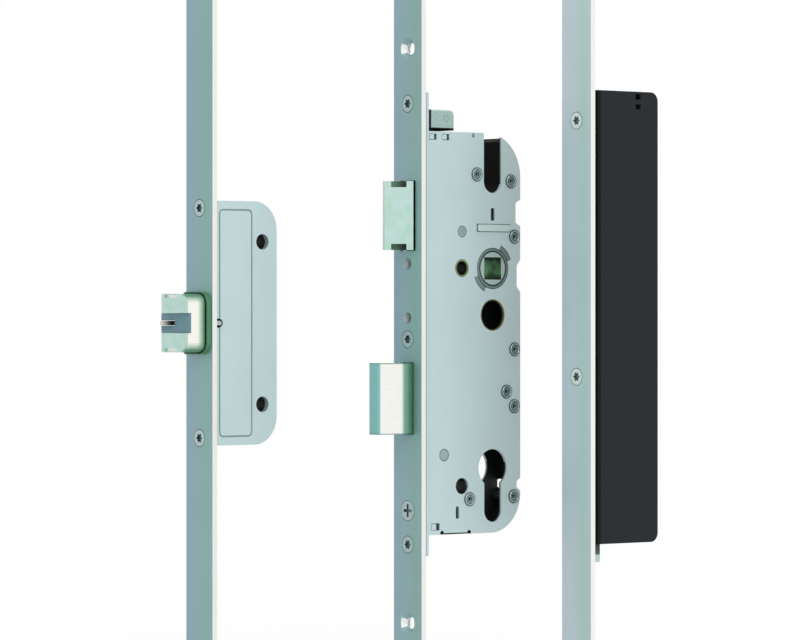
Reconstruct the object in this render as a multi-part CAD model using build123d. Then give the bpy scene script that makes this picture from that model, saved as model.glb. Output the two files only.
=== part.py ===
from build123d import *
import math
import os

os.makedirs("parts", exist_ok=True)

# Three lengths of one multipoint door lock, side by side: a locking point with a sprung
# bolt, the main lock case, and a length with a motor. Sizes are in millimetres. +X runs
# into the door, +Z is up, and Y is the door's thickness. X = 0 is the back of each forend,
# where it seats on the door's edge. The origin lies midway between the two fixing screws of
# the main forend. Everything stands in the locked state, with the bolts thrown.

# Fits, shared by all pieces
running_fit = 0.05
free_gap = 0.3
overrun = 2.0

# The three lengths stand in a row, turned by this angle from the X axis towards -Y
row_turn = 40.0
left_row_step = 95.1
right_row_step = 77.0

# Forend strips
forend_width = 20.0
forend_thick = 2.5
forend_over_fixing = 35.9
forend_under_fixing = 21.9
forend_edge_radius = 0.4
fixing_half_spacing = 131.1
fixing_hole_radius = 2.75
fixing_head_radius = 4.8
side_fixing_top = 159.0
side_fixing_bottom = -145.0

# Countersunk screws with a star recess
screw_head_radius = 4.1
screw_shank_radius = 2.0
screw_reach = 0.2
star_radius = 2.2
star_depth = 1.3
star_core_share = 0.72
star_lobe_share = 0.22
sleeve_wall = 1.0

# Drive strips behind the forends, and how far they lift
strip_gap = 0.3
strip_thick = 1.8
strip_half = 7.0
strip_slot_half = 3.5
side_strip_top = 134.0
side_strip_bottom = -141.0
drive_lift = 20.0

# Main case
backset = 45.0
spindle_z = 31.0
cylinder_pitch = 92.0
case_front = 2.4
case_rear = 59.5
case_top = 93.4
case_bottom = -91.0
case_half = 7.5
case_sheet = 1.4
case_top_radius = 20.0
case_bottom_radius = 18.0
case_shoulder_radius = 2.0
lug_top = 111.0
lug_bottom = -100.5
lug_screw_top = 105.9
case_screw_z = -1.6
lug_screw_bottom = -95.3

# U-shaped slot in the top of the case, and its dark lining
slot_centre_x = 42.45
slot_half = 5.35
slot_floor = 65.8
liner_wall = 0.8
liner_top = 89.5

# Notches in the rear edge of the case
upper_notch_low = 50.7
upper_notch_tall = 12.3
upper_notch_deep = 2.9
upper_notch_slope = 1.6
middle_notch_low = 20.1
middle_notch_tall = 15.1
middle_notch_deep = 2.2
middle_notch_slope = 2.6
lower_notch_low = -71.8
lower_notch_tall = 5.9
lower_notch_deep = 2.2
lower_notch_slope = 1.5

# Small openings and embossing of the case, from its edges or from the spindle
sight_slot_half = 1.1
sight_slot_low = 53.1
sight_slot_tall = 5.7
key_slot_x = 21.05
key_slot_low = -84.0
key_slot_tall = 5.8
key_slot_half = 0.95
window_first_x = 4.0
window_second_x = 11.6
window_wide = 4.5
window_tall = 2.8
window_drop = 1.1
low_window_x = 5.3
low_window_wide = 5.0
low_window_tall = 3.2
low_window_rise = 2.1
window_lug_gap = 0.25
window_lug_wide = 2.7
relief_x = 30.5
relief_half = 0.8
relief_deep = 2.4
recess_low_x = 11.8
recess_long = 16.4
recess_deep = 0.7
recess_knob_radius = 1.1
bar_centre_x = 43.0
bar_half = 9.8
bar_low = 48.1
bar_tall = 3.1
bar_proud = 0.45
forend_hole_upper = 32.8
forend_hole_lower = 8.1
forend_hole_radius = 2.45

# Rivets, as shares of the case's width and height
rivet_shank_radius = 2.0
rivet_head_radius = 3.2
rivet_head_thick = 0.4
rivet_dimple_radius = 1.2
rivet_dimple_deep = 1.0
rivet_shares = (
    (0.532, 0.896),
    (0.897, 0.881),
    (0.935, 0.742),
    (0.937, 0.459),
    (0.849, 0.353),
    (0.932, 0.316),
    (0.928, 0.0895),
    (0.455, 0.0862),
)

# Round openings for the handle's screws, the stamp and the profile cylinder
handle_hole_x = 23.75
upper_handle_radius = 3.25
upper_bush_radius = 4.1
lower_handle_drop = 100.0
lower_handle_radius = 3.75
lower_bush_radius = 4.25
sight_hole_drop = 21.5
sight_hole_radius = 6.9
cylinder_radius = 8.65
cylinder_slot_half = 5.15
cylinder_tall = 33.65

# Guide pins whose ends lie flush in the case
latch_guide_x = 23.9
latch_guide_z = 47.8
latch_guide_radius = 2.65
slide_guide_x = 13.0
slide_guide_z = -54.6
slide_guide_radius = 2.95

# Follower, its arm and its two rings
spindle_square = 10.2
follower_radius = 7.9
follower_flange_radius = 10.0
ring_radius = 9.5
ring_tab_radius = 11.8
ring_tab_first_angle = 20.0
ring_tab_sweep_angle = 45.0
follower_throw = 32.0
arm_reach = 19.0
arm_half = 2.5
arm_half_thick = 3.6
horn_reach = 14.0
horn_half = 2.0

# Latch
latch_low = 39.1
latch_tall = 31.4
latch_half = 5.2
latch_reach = 10.5
latch_near_reach = 1.0
latch_flat = 1.5
latch_back = 1.4
latch_plate_thick = 1.2
latch_pocket_deep = 2.8
latch_pocket_into = 2.4
latch_pocket_start_share = 0.24
latch_pocket_end_share = 0.78
shank_half = 3.8
shank_low = 42.0
shank_top = 62.0
shank_end = 31.5
tail_low = 53.2
tail_end = 42.9
tail_hook_thick = 2.7
tail_hook_low = 48.3

# Deadbolt and its pin
bolt_low = -44.8
bolt_tall = 32.4
bolt_half = 4.0
bolt_throw = 20.0
bolt_nose_radius = 1.2
bolt_tail = 15.0
bolt_pin_x = 10.0
bolt_pin_z = -18.0
bolt_pin_radius = 2.5

# Drive slide inside the case, on the far side of the bolts
slide_low_y = 4.3
slide_thick = 1.5
spine_low_x = 12.2
spine_wide = 6.0
spine_top = 103.2
spine_bottom = -79.5
cam_plate_front = 5.0
cam_plate_rim = 4.6
cam_slot_play = 0.1
nose_low = 96.0
nose_tall = 6.5
foot_low = -76.0
foot_tall = 9.0

# Carriage block that rides on top of the case
carriage_front = 4.3
carriage_rear = 19.2
carriage_low = 94.8
carriage_tall = 8.6
carriage_wall = 1.5
carriage_radius = 2.6
carriage_front_radius = 1.2
carriage_bevel = 0.5
carriage_tooth_long = 2.2
carriage_tooth_deep = 0.8

# Main drive strips
upper_strip_bottom = 86.0
strip_over_fixing = 15.9
lower_strip_top = -67.0
strip_under_fixing = 21.6

# Key gear and the rack on the slide
gear_teeth = 12
gear_module = 1.0
gear_z = -54.0
gear_addendum_share = 0.75
gear_dedendum_share = 1.05
gear_half_tooth_share = 0.62
gear_tip_half_share = 0.34
gear_root_half_share = 0.9
gear_axle_radius = 2.0
rack_teeth_low = -78.6
rack_teeth_high = -47.0

# Long screw that holds the profile cylinder
cylinder_screw_z = -79.8
cylinder_screw_head = 4.8
cylinder_screw_radius = 2.4
cylinder_screw_tip = 41.0
cross_share = 0.62
cross_arm_share = 0.13
cross_depth = 1.3

# Springs
latch_spring_z = 66.3
latch_spring_radius = 2.0
latch_spring_wire = 0.8
latch_spring_stop = 28.0
latch_spring_turns = 10
follower_spring_stop = 24.0
follower_spring_radius = 1.9
follower_spring_wire = 0.7
follower_spring_turns = 9
stop_tab_half_tall = 3.6
stop_tab_half_wide = 4.0

# Locking point: box, collar and seal
point_z = 5.8
box_rear = 35.3
box_half_tall = 55.8
box_half = 9.2
box_sheet = 0.9
box_radius = 13.0
panel_front = 1.7
panel_rear = 21.1
panel_inset = 3.7
panel_groove = 0.8
panel_groove_deep = 0.35
panel_radius = 2.5
box_hole_x = 26.9
box_hole_inset = 18.5
box_hole_radius = 3.6
box_bush_wall = 0.6
box_screw_inset = 3.3
box_lug_x = 2.4
box_lug_thick = 1.4
box_lug_half = 5.5
notch_reach = 4.0
notch_half = 2.05
dowel_x = 2.2
dowel_radius = 1.0
collar_proud = 2.45
collar_wall = 0.6
collar_play = 0.35
seal_thick = 0.45
seal_play = 0.1
seal_wide = 0.4

# Sprung bolt of the locking point
point_half = 8.0
point_half_tall = 13.35
point_near_radius = 5.0
point_far_radius = 1.0
point_near_reach = 13.7
point_far_reach = 15.5
point_back = 1.0
point_travel = 13.0
point_shank_half = 3.9
point_shank_half_tall = 7.0
point_shank_end = 20.8
end_plate_thick = 1.2
end_pocket_near = -2.0
end_pocket_far = 6.0
end_pocket_tall = 1.4
end_pocket_inset = 0.45
end_pocket_radius = 0.5
insert_half_tall = 4.55
insert_back = -8.0
insert_near_back = -13.2
insert_near_wall = 2.0
insert_far_reach = 15.6
insert_near_reach = 11.9
insert_sag = 0.6
tongue_half_thick = 1.05
tongue_near = 1.1
tongue_far = 7.9
tongue_reach = 16.4
tongue_back = -4.0
tongue_foot_near = 0.2
tongue_foot_long = 4.0
tongue_travel = 4.0
tongue_play = 0.15

# Springs and cam of the locking point
trigger_spring_y = 1.6
trigger_spring_radius = 1.3
trigger_spring_wire = 0.45
trigger_spring_turns = 7
trigger_spring_end = 8.0
bore_play = 0.3
point_spring_drop = 3.0
point_spring_radius = 2.0
point_spring_wire = 0.8
point_spring_start = 11.0
point_spring_turns = 9
point_pin_x = 17.4
point_pin_rise = 3.8
point_pin_radius = 2.0
point_slide_front = 14.5
point_slide_neck = 22.3
point_slide_rear = 33.8
point_slide_bush_gap = 0.6
point_slide_head_gap = 1.9
point_slide_foot_gap = 2.9
point_slide_bolt_gap = 1.15
point_slide_thick = 1.8
tenon_tall = 7.0

# Motor length: housing and lid
housing_front = 2.5
housing_rear = 40.0
housing_top = 112.0
housing_bottom = -95.0
housing_half = 9.0
housing_wall = 1.6
housing_radius = 4.3
pane_x = 26.1
pane_wide = 3.1
upper_pane_low = 108.4
upper_pane_tall = 2.6
lower_pane_low = 103.8
lower_pane_tall = 2.4
housing_screw_top = 98.2
housing_screw_low = -18.7
lid_pin_radius = 1.5
lid_post_radius = 3.0
lid_post_x_share = 0.86
lid_post_shares = (0.06, 0.5, 0.9)

# Motor, gearbox, lead screw, nut and foot
motor_x = 21.0
motor_radius = 6.8
motor_low = 22.0
motor_long = 42.0
motor_cap_long = 3.0
motor_cap_radius = 4.2
gearbox_long = 22.0
gearbox_rib_count = 5
gearbox_rib_deep = 0.4
screw_radius = 3.0
screw_low = -80.0
screw_pitch = 2.0
screw_groove_deep = 0.45
screw_groove_wide = 0.9
screw_hub_radius = 4.2
screw_hub_long = 5.0
screw_journal_radius = 1.8
screw_journal_long = 4.0
bearing_half = 6.0
bearing_tall = 5.0
nut_low = -62.0
nut_tall = 12.0
nut_half = 6.0
foot_bar_front = 4.6
foot_bar_thick = 3.8
foot_half = 4.0
foot_base = -103.4
foot_base_tall = 3.4
board_front = 9.0
board_rear = 31.0
board_low = 69.0
board_high = 98.0
board_y = 3.0
board_thick = 1.6
chip_tall = 1.4
chip_half = 3.2
chip_shares = ((0.3, 0.28), (0.7, 0.4), (0.38, 0.74))
selector_thick = 1.5
selector_half = 3.2
selector_low = 99.5
selector_tall = 5.6
selector_travel = 4.5

# Places worked out from the sizes above
half_forend = forend_width / 2
forend_top = fixing_half_spacing + forend_over_fixing
forend_bottom = -fixing_half_spacing - forend_under_fixing
upper_strip_top = fixing_half_spacing + strip_over_fixing
lower_strip_bottom = -fixing_half_spacing - strip_under_fixing
forend_face = -forend_thick
spindle_x = backset - forend_thick
cylinder_z = spindle_z - cylinder_pitch
inner_half = case_half - case_sheet
strip_x = (strip_gap, strip_gap + strip_thick)
slide_y = (slide_low_y, slide_low_y + slide_thick)
spine_x = (spine_low_x, spine_low_x + spine_wide)
gear_radius = gear_module * gear_teeth / 2
rack_line = spine_x[1]
gear_x = rack_line + gear_radius
box_inner = box_half - box_sheet
box_hole_offset = box_half_tall - box_hole_inset
box_screw_offset = box_half_tall - box_screw_inset
point_slide_y = (slide_low_y, slide_low_y + point_slide_thick)
point_slide_reach = box_hole_offset - box_hole_radius - box_bush_wall - point_slide_bush_gap
point_slide_high = box_half_tall - box_sheet - point_slide_head_gap - drive_lift
point_slide_low = -(box_half_tall - box_sheet - point_slide_foot_gap)
point_arm_gap_high = point_half_tall + point_slide_bolt_gap
point_arm_gap_low = -point_arm_gap_high - drive_lift
upper_tenon_low = (point_arm_gap_high + point_slide_high - tenon_tall) / 2
lower_tenon_low = (point_arm_gap_low + point_slide_low - tenon_tall) / 2
point_tip_near = forend_face - point_near_reach
point_tip_far = forend_face - point_far_reach
housing_inner = housing_half - housing_wall
post_down = (Align.CENTER, Align.CENTER, Align.MIN)


# Simple solids

def around(middle, half):
    """The span that reaches half to each side of the middle."""
    return (middle - half, middle + half)


def block(x, y, z):
    """A box from three (low, high) spans."""
    spans = (x, y, z)
    low = [span[0] for span in spans]
    size = [span[1] - span[0] for span in spans]
    return Pos(*low) * Box(*size, align=(Align.MIN, Align.MIN, Align.MIN))


def bar_x(radius, x, y, z):
    """A round bar along X over the span x."""
    return Pos(x[0], y, z) * Rot(0, 90, 0) * Cylinder(radius, x[1] - x[0], align=post_down)


def bar_y(radius, x, y, z):
    """A round bar along Y over the span y."""
    return Pos(x, y[0], z) * Rot(-90, 0, 0) * Cylinder(radius, y[1] - y[0], align=post_down)


def bar_z(radius, x, y, z):
    """A round bar along Z over the span z."""
    return Pos(x, y, z[0]) * Cylinder(radius, z[1] - z[0], align=post_down)


def rect(across, up):
    """A flat rectangle from two (low, high) spans."""
    wide = across[1] - across[0]
    tall = up[1] - up[0]
    return Pos(across[0], up[0]) * Rectangle(wide, tall, align=(Align.MIN, Align.MIN))


def disc(radius, across, up):
    """A flat disc."""
    return Pos(across, up) * Circle(radius)


def rounded(across, up, radii):
    """A rectangle whose corners, counted from the low one anticlockwise, have these radii."""
    corners = [
        (across[0], up[0]),
        (across[1], up[0]),
        (across[1], up[1]),
        (across[0], up[1]),
    ]
    return make_face(FilletPolyline(*corners, radius=radii, close=True))


def polygon(*points):
    """A flat face through these points."""
    return make_face(Polyline(*points, close=True))


def plate_x(sketch, x):
    """A plate square to X, from a sketch in Y and Z."""
    return Pos(x[0], 0, 0) * extrude(Plane.YZ * sketch, amount=x[1] - x[0])


def plate_y(sketch, y):
    """A plate square to Y, from a sketch in X and Z."""
    return Pos(0, y[1], 0) * extrude(Plane.XZ * sketch, amount=y[1] - y[0])


def plate_z(sketch, z):
    """A plate square to Z, from a sketch in X and Y."""
    return Pos(0, 0, z[0]) * extrude(sketch, amount=z[1] - z[0])


def wide_slot(start, end, half):
    """A flat slot with round ends between two points."""
    middle = ((start[0] + end[0]) / 2, (start[1] + end[1]) / 2)
    run = (end[0] - start[0], end[1] - start[1])
    length = math.hypot(*run)
    turn = math.degrees(math.atan2(run[1], run[0]))
    return Pos(*middle) * Rot(0, 0, turn) * SlotCenterToCenter(length, 2 * half)


# Saving: every piece goes to its own file, moved to its length's place in the row

def row_place(step):
    """The place of a length of lock at this step along the row."""
    turn = math.radians(row_turn)
    return Pos(step * math.cos(turn), -step * math.sin(turn), 0)


main_place = row_place(0)
point_place = row_place(-left_row_step)
motor_place = row_place(right_row_step)


def save(name, place, *solids):
    """Write one node, which is one solid or a group of separate ones."""
    moved = [place * solid for piece in solids for solid in piece.solids()]
    shape = moved[0] if len(moved) == 1 else Compound(children=moved)
    export_step(shape, "parts/" + name + ".step")


# Forends, their screws and the sleeves that keep them off the drive strips

def forend_blank():
    """A forend strip with its two long front edges eased."""
    strip = block((forend_face, 0), around(0, half_forend), (forend_bottom, forend_top))
    front_edges = strip.edges().filter_by(Axis.Z).group_by(Axis.X)[0]
    return fillet(front_edges, forend_edge_radius)


def countersink(z, head_radius, hole_radius):
    """The tool that cuts a countersunk hole in a forend."""
    sink = Cone(head_radius, hole_radius, head_radius - hole_radius, align=post_down)
    through = bar_x(hole_radius, (forend_face - overrun, overrun), 0, z)
    return Pos(forend_face, 0, z) * Rot(0, 90, 0) * sink + through


def star_recess():
    """The outline of a star recess."""
    lobe_radius = star_radius * star_lobe_share
    lobe_reach = star_radius - lobe_radius
    lobes = PolarLocations(lobe_reach, 6) * Circle(lobe_radius)
    return Circle(star_radius * star_core_share) + lobes


def cross_recess():
    """The outline of a cross recess."""
    arm = cylinder_screw_head * cross_share
    thick = cylinder_screw_head * cross_arm_share
    return Rectangle(2 * arm, 2 * thick) + Rectangle(2 * thick, 2 * arm)


def sunk_screw(z, head_radius, shank_radius, tip_x, recess, recess_deep):
    """A countersunk screw, flush with the front of a forend."""
    face_radius = head_radius - running_fit
    head = Cone(face_radius, shank_radius, face_radius - shank_radius, align=post_down)
    screw = Pos(forend_face, 0, z) * Rot(0, 90, 0) * head
    screw += bar_x(shank_radius, (forend_face + face_radius - shank_radius, tip_x), 0, z)
    socket = (forend_face - overrun, forend_face + recess_deep)
    return screw - plate_x(Pos(0, z) * recess, socket)


def star_screws(heights, tip_x):
    """The star screws of one forend."""
    size = (screw_head_radius, screw_shank_radius)
    return [sunk_screw(z, *size, tip_x, star_recess(), star_depth) for z in heights]


def sleeve(z, end_x):
    """The spacer round a screw, between a forend and what it holds."""
    outer = bar_x(screw_shank_radius + sleeve_wall, (0, end_x), 0, z)
    return outer - bar_x(screw_shank_radius + running_fit, (0, end_x), 0, z)


def cut_star_holes(forend, heights):
    """Countersink a forend for star screws."""
    for z in heights:
        forend -= countersink(z, screw_head_radius, screw_shank_radius + running_fit)
    return forend


def strip(half, low, high, slots):
    """A drive strip, slotted round the fixed screws at these heights."""
    shape = rect(around(0, half), (low, high))
    for z in slots:
        shape -= wide_slot((0, z - drive_lift), (0, z), strip_slot_half)
    return plate_x(shape, strip_x)


# Main length: outlines shared by the case's two shells

main_screw_heights = (lug_screw_top, case_screw_z, lug_screw_bottom)


def case_shape(inset):
    """The case seen from the side, drawn in by inset."""
    across = (case_front + inset, case_rear - inset)
    up = (case_bottom + inset, case_top - inset)
    radii = [0, case_bottom_radius - inset, case_top_radius - inset, 0]
    return rounded(across, up, radii)


def rear_notch(low, tall, deep, slope):
    """A notch in the rear edge of the case, with sloping ends."""
    high = low + tall
    floor_x = case_rear - deep
    outside = case_rear + overrun
    return polygon(
        (outside, low),
        (case_rear, low),
        (floor_x, low + slope),
        (floor_x, high - slope),
        (case_rear, high),
        (outside, high),
    )


def rear_notches():
    """The three notches of the rear edge."""
    upper = rear_notch(upper_notch_low, upper_notch_tall, upper_notch_deep, upper_notch_slope)
    middle = rear_notch(middle_notch_low, middle_notch_tall, middle_notch_deep, middle_notch_slope)
    lower = rear_notch(lower_notch_low, lower_notch_tall, lower_notch_deep, lower_notch_slope)
    return upper + middle + lower


def top_slot(grow, top):
    """The U-shaped slot in the top of the case, made wider by grow."""
    half = slot_half + grow
    floor_centre = slot_floor + slot_half
    side = rect(around(slot_centre_x, half), (floor_centre, top))
    return side + disc(half, slot_centre_x, floor_centre)


def cylinder_shape():
    """The profile cylinder's hole: a circle over a narrower slot with a round end."""
    low = cylinder_z + cylinder_radius - cylinder_tall + cylinder_slot_half
    stem = wide_slot((spindle_x, low), (spindle_x, cylinder_z), cylinder_slot_half)
    return disc(cylinder_radius, spindle_x, cylinder_z) + stem


def ring_tab(radius, start):
    """One tab of a follower ring, as a sector out to this radius."""
    begin = CenterArc((0, 0), radius, start, ring_tab_sweep_angle)
    sector = make_face([begin, Line((0, 0), begin @ 0), Line(begin @ 1, (0, 0))])
    return Pos(spindle_x, spindle_z) * sector


def ring_shape(grow):
    """The outline of a follower ring with its two tabs."""
    shape = disc(ring_radius + grow, spindle_x, spindle_z)
    for start in (ring_tab_first_angle, ring_tab_first_angle + 180):
        shape += ring_tab(ring_tab_radius + grow, start)
    return shape


def rivet_places():
    """The middles of the rivets, as points in X and Z."""
    wide = case_rear - case_front
    tall = case_top - case_bottom
    return [(case_front + a * wide, case_bottom + b * tall) for a, b in rivet_shares]


def window_heights():
    """The lower and upper edge of the two windows under the top of the case."""
    return case_top - window_drop - window_tall, case_top - window_drop


def low_window_heights():
    """The lower and upper edge of the window over the bottom of the case."""
    low = case_bottom + low_window_rise
    return low, low + low_window_tall


def window_lug(x, up, wall_z):
    """A lug of the tray that reaches from a wall of it through a window of the cover."""
    across = (x + window_lug_gap, x + window_lug_gap + window_lug_wide)
    low, high = up[0] + window_lug_gap, up[1] - window_lug_gap
    root = (-inner_half, slide_y[0] - free_gap)
    lug = block(across, (-case_half, root[1]), (low, high))
    return lug + block(across, root, (min(low, wall_z), max(high, wall_z)))


def shared_holes():
    """The openings that both shells of the case have."""
    holes = cylinder_shape() + ring_shape(running_fit) + top_slot(0, case_top + overrun)
    holes += disc(upper_bush_radius + running_fit, handle_hole_x, spindle_z)
    holes += disc(lower_handle_radius, handle_hole_x, spindle_z - lower_handle_drop)
    holes += disc(latch_guide_radius + running_fit, latch_guide_x, latch_guide_z)
    for x, z in rivet_places():
        holes += disc(rivet_shank_radius + running_fit, x, z)
    for x in (window_first_x, window_second_x):
        holes += rect((x, x + window_wide), window_heights())
    holes += rect((low_window_x, low_window_x + low_window_wide), low_window_heights())
    return holes + rear_notches()


def cover_holes():
    """The openings that only the near shell has."""
    holes = disc(sight_hole_radius, spindle_x, spindle_z - sight_hole_drop)
    holes += disc(slide_guide_radius + running_fit, slide_guide_x, slide_guide_z)
    sight_up = (sight_slot_low, sight_slot_low + sight_slot_tall)
    holes += rect(around(spindle_x, sight_slot_half), sight_up)
    key_low = (key_slot_x, key_slot_low + key_slot_half)
    key_high = (key_slot_x, key_slot_low + key_slot_tall - key_slot_half)
    holes += wide_slot(key_low, key_high, key_slot_half)
    holes += rect(around(relief_x, relief_half), (case_top - relief_deep, case_top + overrun))
    recess_x = (recess_low_x, recess_low_x + recess_long)
    holes += rect(recess_x, (case_bottom - overrun, case_bottom + recess_deep))
    for x in recess_x:
        holes += disc(recess_knob_radius, x, case_bottom + recess_deep)
    return holes


# Main length: fixed pieces

def main_forend():
    """The main forend with its holes for screws, latch and deadbolt."""
    forend = cut_star_holes(forend_blank(), main_screw_heights)
    for z in (-fixing_half_spacing, fixing_half_spacing):
        forend -= countersink(z, fixing_head_radius, fixing_hole_radius)
    cylinder_screw_hole = cylinder_screw_radius + running_fit
    forend -= countersink(cylinder_screw_z, cylinder_screw_head, cylinder_screw_hole)
    for z in (forend_hole_upper, forend_hole_lower):
        forend -= bar_x(forend_hole_radius, (forend_face - overrun, overrun), 0, z)
    latch_up = (latch_low - free_gap, latch_low + latch_tall + free_gap)
    bolt_up = (bolt_low - free_gap, bolt_low + bolt_tall + free_gap)
    through = (forend_face - overrun, overrun)
    forend -= block(through, around(0, latch_half + free_gap), latch_up)
    forend -= block(through, around(0, bolt_half + free_gap), bolt_up)
    return forend


def case_tray():
    """The far shell: a plate, the walls round it, its two lugs and the spring stops."""
    outer = case_shape(0)
    walls = outer - case_shape(case_sheet) - rear_notches()
    walls -= top_slot(liner_wall, case_top + overrun)
    tray = plate_y(outer - shared_holes(), (inner_half, case_half))
    tray += plate_y(walls, (-inner_half, inner_half))
    lug_x = (case_front, case_front + case_sheet)
    tray += block(lug_x, (-case_half, slide_y[0] - free_gap), (case_top, lug_top))
    tray += block(lug_x, (-case_half, case_half), (lug_bottom, case_bottom))
    for x in (window_first_x, window_second_x):
        tray += window_lug(x, window_heights(), case_top - case_sheet)
    tray += window_lug(low_window_x, low_window_heights(), case_bottom + case_sheet)
    spring_z = spindle_z - horn_reach * math.cos(math.radians(follower_throw / 2))
    for x, z in ((latch_spring_stop, latch_spring_z), (follower_spring_stop - case_sheet, spring_z)):
        stop_y = (-stop_tab_half_wide, inner_half)
        tray += block((x, x + case_sheet), stop_y, around(z, stop_tab_half_tall))
    return tray - tray_openings()


def tray_openings():
    """What is cut through the tray's front and top walls."""
    wall_x = (case_front - overrun, case_front + case_sheet + overrun)
    latch_up = (latch_low - free_gap, latch_low + latch_tall + free_gap)
    bolt_up = (bolt_low - free_gap, bolt_low + bolt_tall + free_gap)
    foot_up = (foot_low - free_gap, foot_low + foot_tall + drive_lift + free_gap)
    slide_side = (slide_y[0] - free_gap, inner_half)
    cuts = block(wall_x, around(0, latch_half + free_gap), latch_up)
    cuts += block(wall_x, around(0, bolt_half + free_gap), bolt_up)
    cuts += block(wall_x, slide_side, foot_up)
    spine_side = (spine_x[0] - free_gap, spine_x[1] + free_gap)
    cuts += block(spine_side, slide_side, (case_top - case_sheet - overrun, case_top + overrun))
    for z in main_screw_heights:
        cuts += bar_x(screw_shank_radius + running_fit, wall_x, 0, z)
    cuts += bar_x(cylinder_screw_radius + running_fit, wall_x, 0, cylinder_screw_z)
    return cuts


def case_cover():
    """The near shell: a plate with all its openings and an embossed bar."""
    cover = plate_y(case_shape(0) - shared_holes() - cover_holes(), (-case_half, -inner_half))
    bar_up = (bar_low, bar_low + bar_tall)
    radii = [bar_tall / 3] * 4
    bar = rounded(around(bar_centre_x, bar_half), bar_up, radii)
    return cover + plate_y(bar, (-case_half - bar_proud, -case_half))


def rivet(x, z):
    """A rivet through both shells, with a dimple in its near head."""
    shank = bar_y(rivet_shank_radius, x, around(0, case_half), z)
    near_head = (-case_half - rivet_head_thick, -case_half)
    far_head = (case_half, case_half + rivet_head_thick)
    for span in (near_head, far_head):
        shank += bar_y(rivet_head_radius, x, span, z)
    dimple = (near_head[0] - overrun, near_head[0] + rivet_dimple_deep)
    return shank - bar_y(rivet_dimple_radius, x, dimple, z)


def guide_pins():
    """The latch's guide pin through both shells, and the short one behind the slide."""
    latch_pin = bar_y(latch_guide_radius, latch_guide_x, around(0, case_half), latch_guide_z)
    short_span = (-case_half, slide_y[0] - free_gap)
    slide_pin = bar_y(slide_guide_radius, slide_guide_x, short_span, slide_guide_z)
    return latch_pin, slide_pin


def slot_liner():
    """The lining of the U-shaped slot, between the two shells."""
    wall = top_slot(liner_wall, liner_top) - top_slot(0, liner_top + overrun)
    return plate_y(wall, (-inner_half, inner_half))


def follower_rings():
    """The bearing rings of the follower, one in each shell."""
    shape = ring_shape(0) - disc(follower_radius + running_fit, spindle_x, spindle_z)
    return plate_y(shape, (-case_half, -inner_half)), plate_y(shape, (inner_half, case_half))


def handle_bushes():
    """The sleeves round the two holes for the handle's screws."""
    upper = disc(upper_bush_radius, handle_hole_x, spindle_z)
    upper -= disc(upper_handle_radius, handle_hole_x, spindle_z)
    lower_z = spindle_z - lower_handle_drop
    lower = disc(lower_bush_radius, handle_hole_x, lower_z)
    lower -= disc(lower_handle_radius, handle_hole_x, lower_z)
    return plate_y(upper, around(0, case_half)), plate_y(lower, around(0, inner_half))


def cylinder_screw():
    """The long screw whose tip reaches into the cylinder's hole."""
    screw = sunk_screw(
        cylinder_screw_z,
        cylinder_screw_head,
        cylinder_screw_radius,
        cylinder_screw_tip,
        cross_recess(),
        cross_depth,
    )
    tip_edge = screw.edges().group_by(Axis.X)[-1]
    return chamfer(tip_edge, cylinder_screw_radius / 3)


# Coil springs, each one unbroken wire of half turns

def coil(turns, length, radius, wire):
    """A spring along +Z from 0, whose wire starts and ends on its end planes."""
    rise = (length - wire) / turns / 2
    bulge = math.hypot(radius, rise / 2)
    side = 1
    edges = []
    for step in range(2 * turns):
        start = (side * radius, 0, wire / 2 + step * rise)
        middle = (0, side * bulge, wire / 2 + (step + 0.5) * rise)
        end = (-side * radius, 0, wire / 2 + (step + 1) * rise)
        edges.append(ThreePointArc(start, middle, end))
        side = -side
    path = Wire(edges)
    section = Plane(origin=(radius, 0, wire / 2), z_dir=(0, 1, 0)) * Circle(wire / 2)
    spring = sweep(section, path=path)
    turn_length = sum(edge.length for edge in edges)
    share = spring.volume / (turn_length * math.pi * (wire / 2) ** 2)
    print("coil", turns, "turns, gap", round(2 * rise - wire, 2), "volume share", round(share, 3))
    return spring


def coil_x(turns, x, y, z, radius, wire):
    """A spring along X over the span x."""
    return Pos(x[0], y, z) * Rot(0, 90, 0) * coil(turns, x[1] - x[0], radius, wire)


# Main length: moving pieces

def drive_slide():
    """The slide in the case: a spine with cam slot, rack, nose and foot."""
    shape = rect(spine_x, (spine_bottom, spine_top))
    cam_end = (bolt_pin_x + bolt_throw, bolt_pin_z - drive_lift)
    cam_up = (cam_end[1] - cam_plate_rim, bolt_pin_z + cam_plate_rim)
    shape += rect((cam_plate_front, cam_end[0] + cam_plate_rim), cam_up)
    shape += rect((strip_x[0], spine_x[1]), (nose_low, nose_low + nose_tall))
    shape += rect((strip_x[0], spine_x[1]), (foot_low, foot_low + foot_tall))
    shape -= wide_slot((bolt_pin_x, bolt_pin_z), cam_end, bolt_pin_radius + cam_slot_play)
    return plate_y(shape + rack_teeth() - rack_gaps(), slide_y)


def tooth_half(share):
    """Half a tooth's thickness as a share of its pitch line's."""
    return share * gear_module


def rack_heights():
    """The middles of the rack's teeth, half a pitch from the gear's tooth at rest."""
    pitch = math.pi * gear_module
    first = math.ceil((rack_teeth_low - gear_z) / pitch - 0.5)
    last = math.floor((rack_teeth_high - gear_z) / pitch - 0.5)
    return [gear_z + (step + 0.5) * pitch for step in range(first, last + 1)]


def rack_gaps():
    """The strip of the spine's rear edge that is cut back to the rack's root."""
    root_x = rack_line - gear_module * gear_dedendum_share
    cut = rect((root_x, rack_line + overrun), (rack_teeth_low, rack_teeth_high))
    return cut - rack_teeth()


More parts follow.
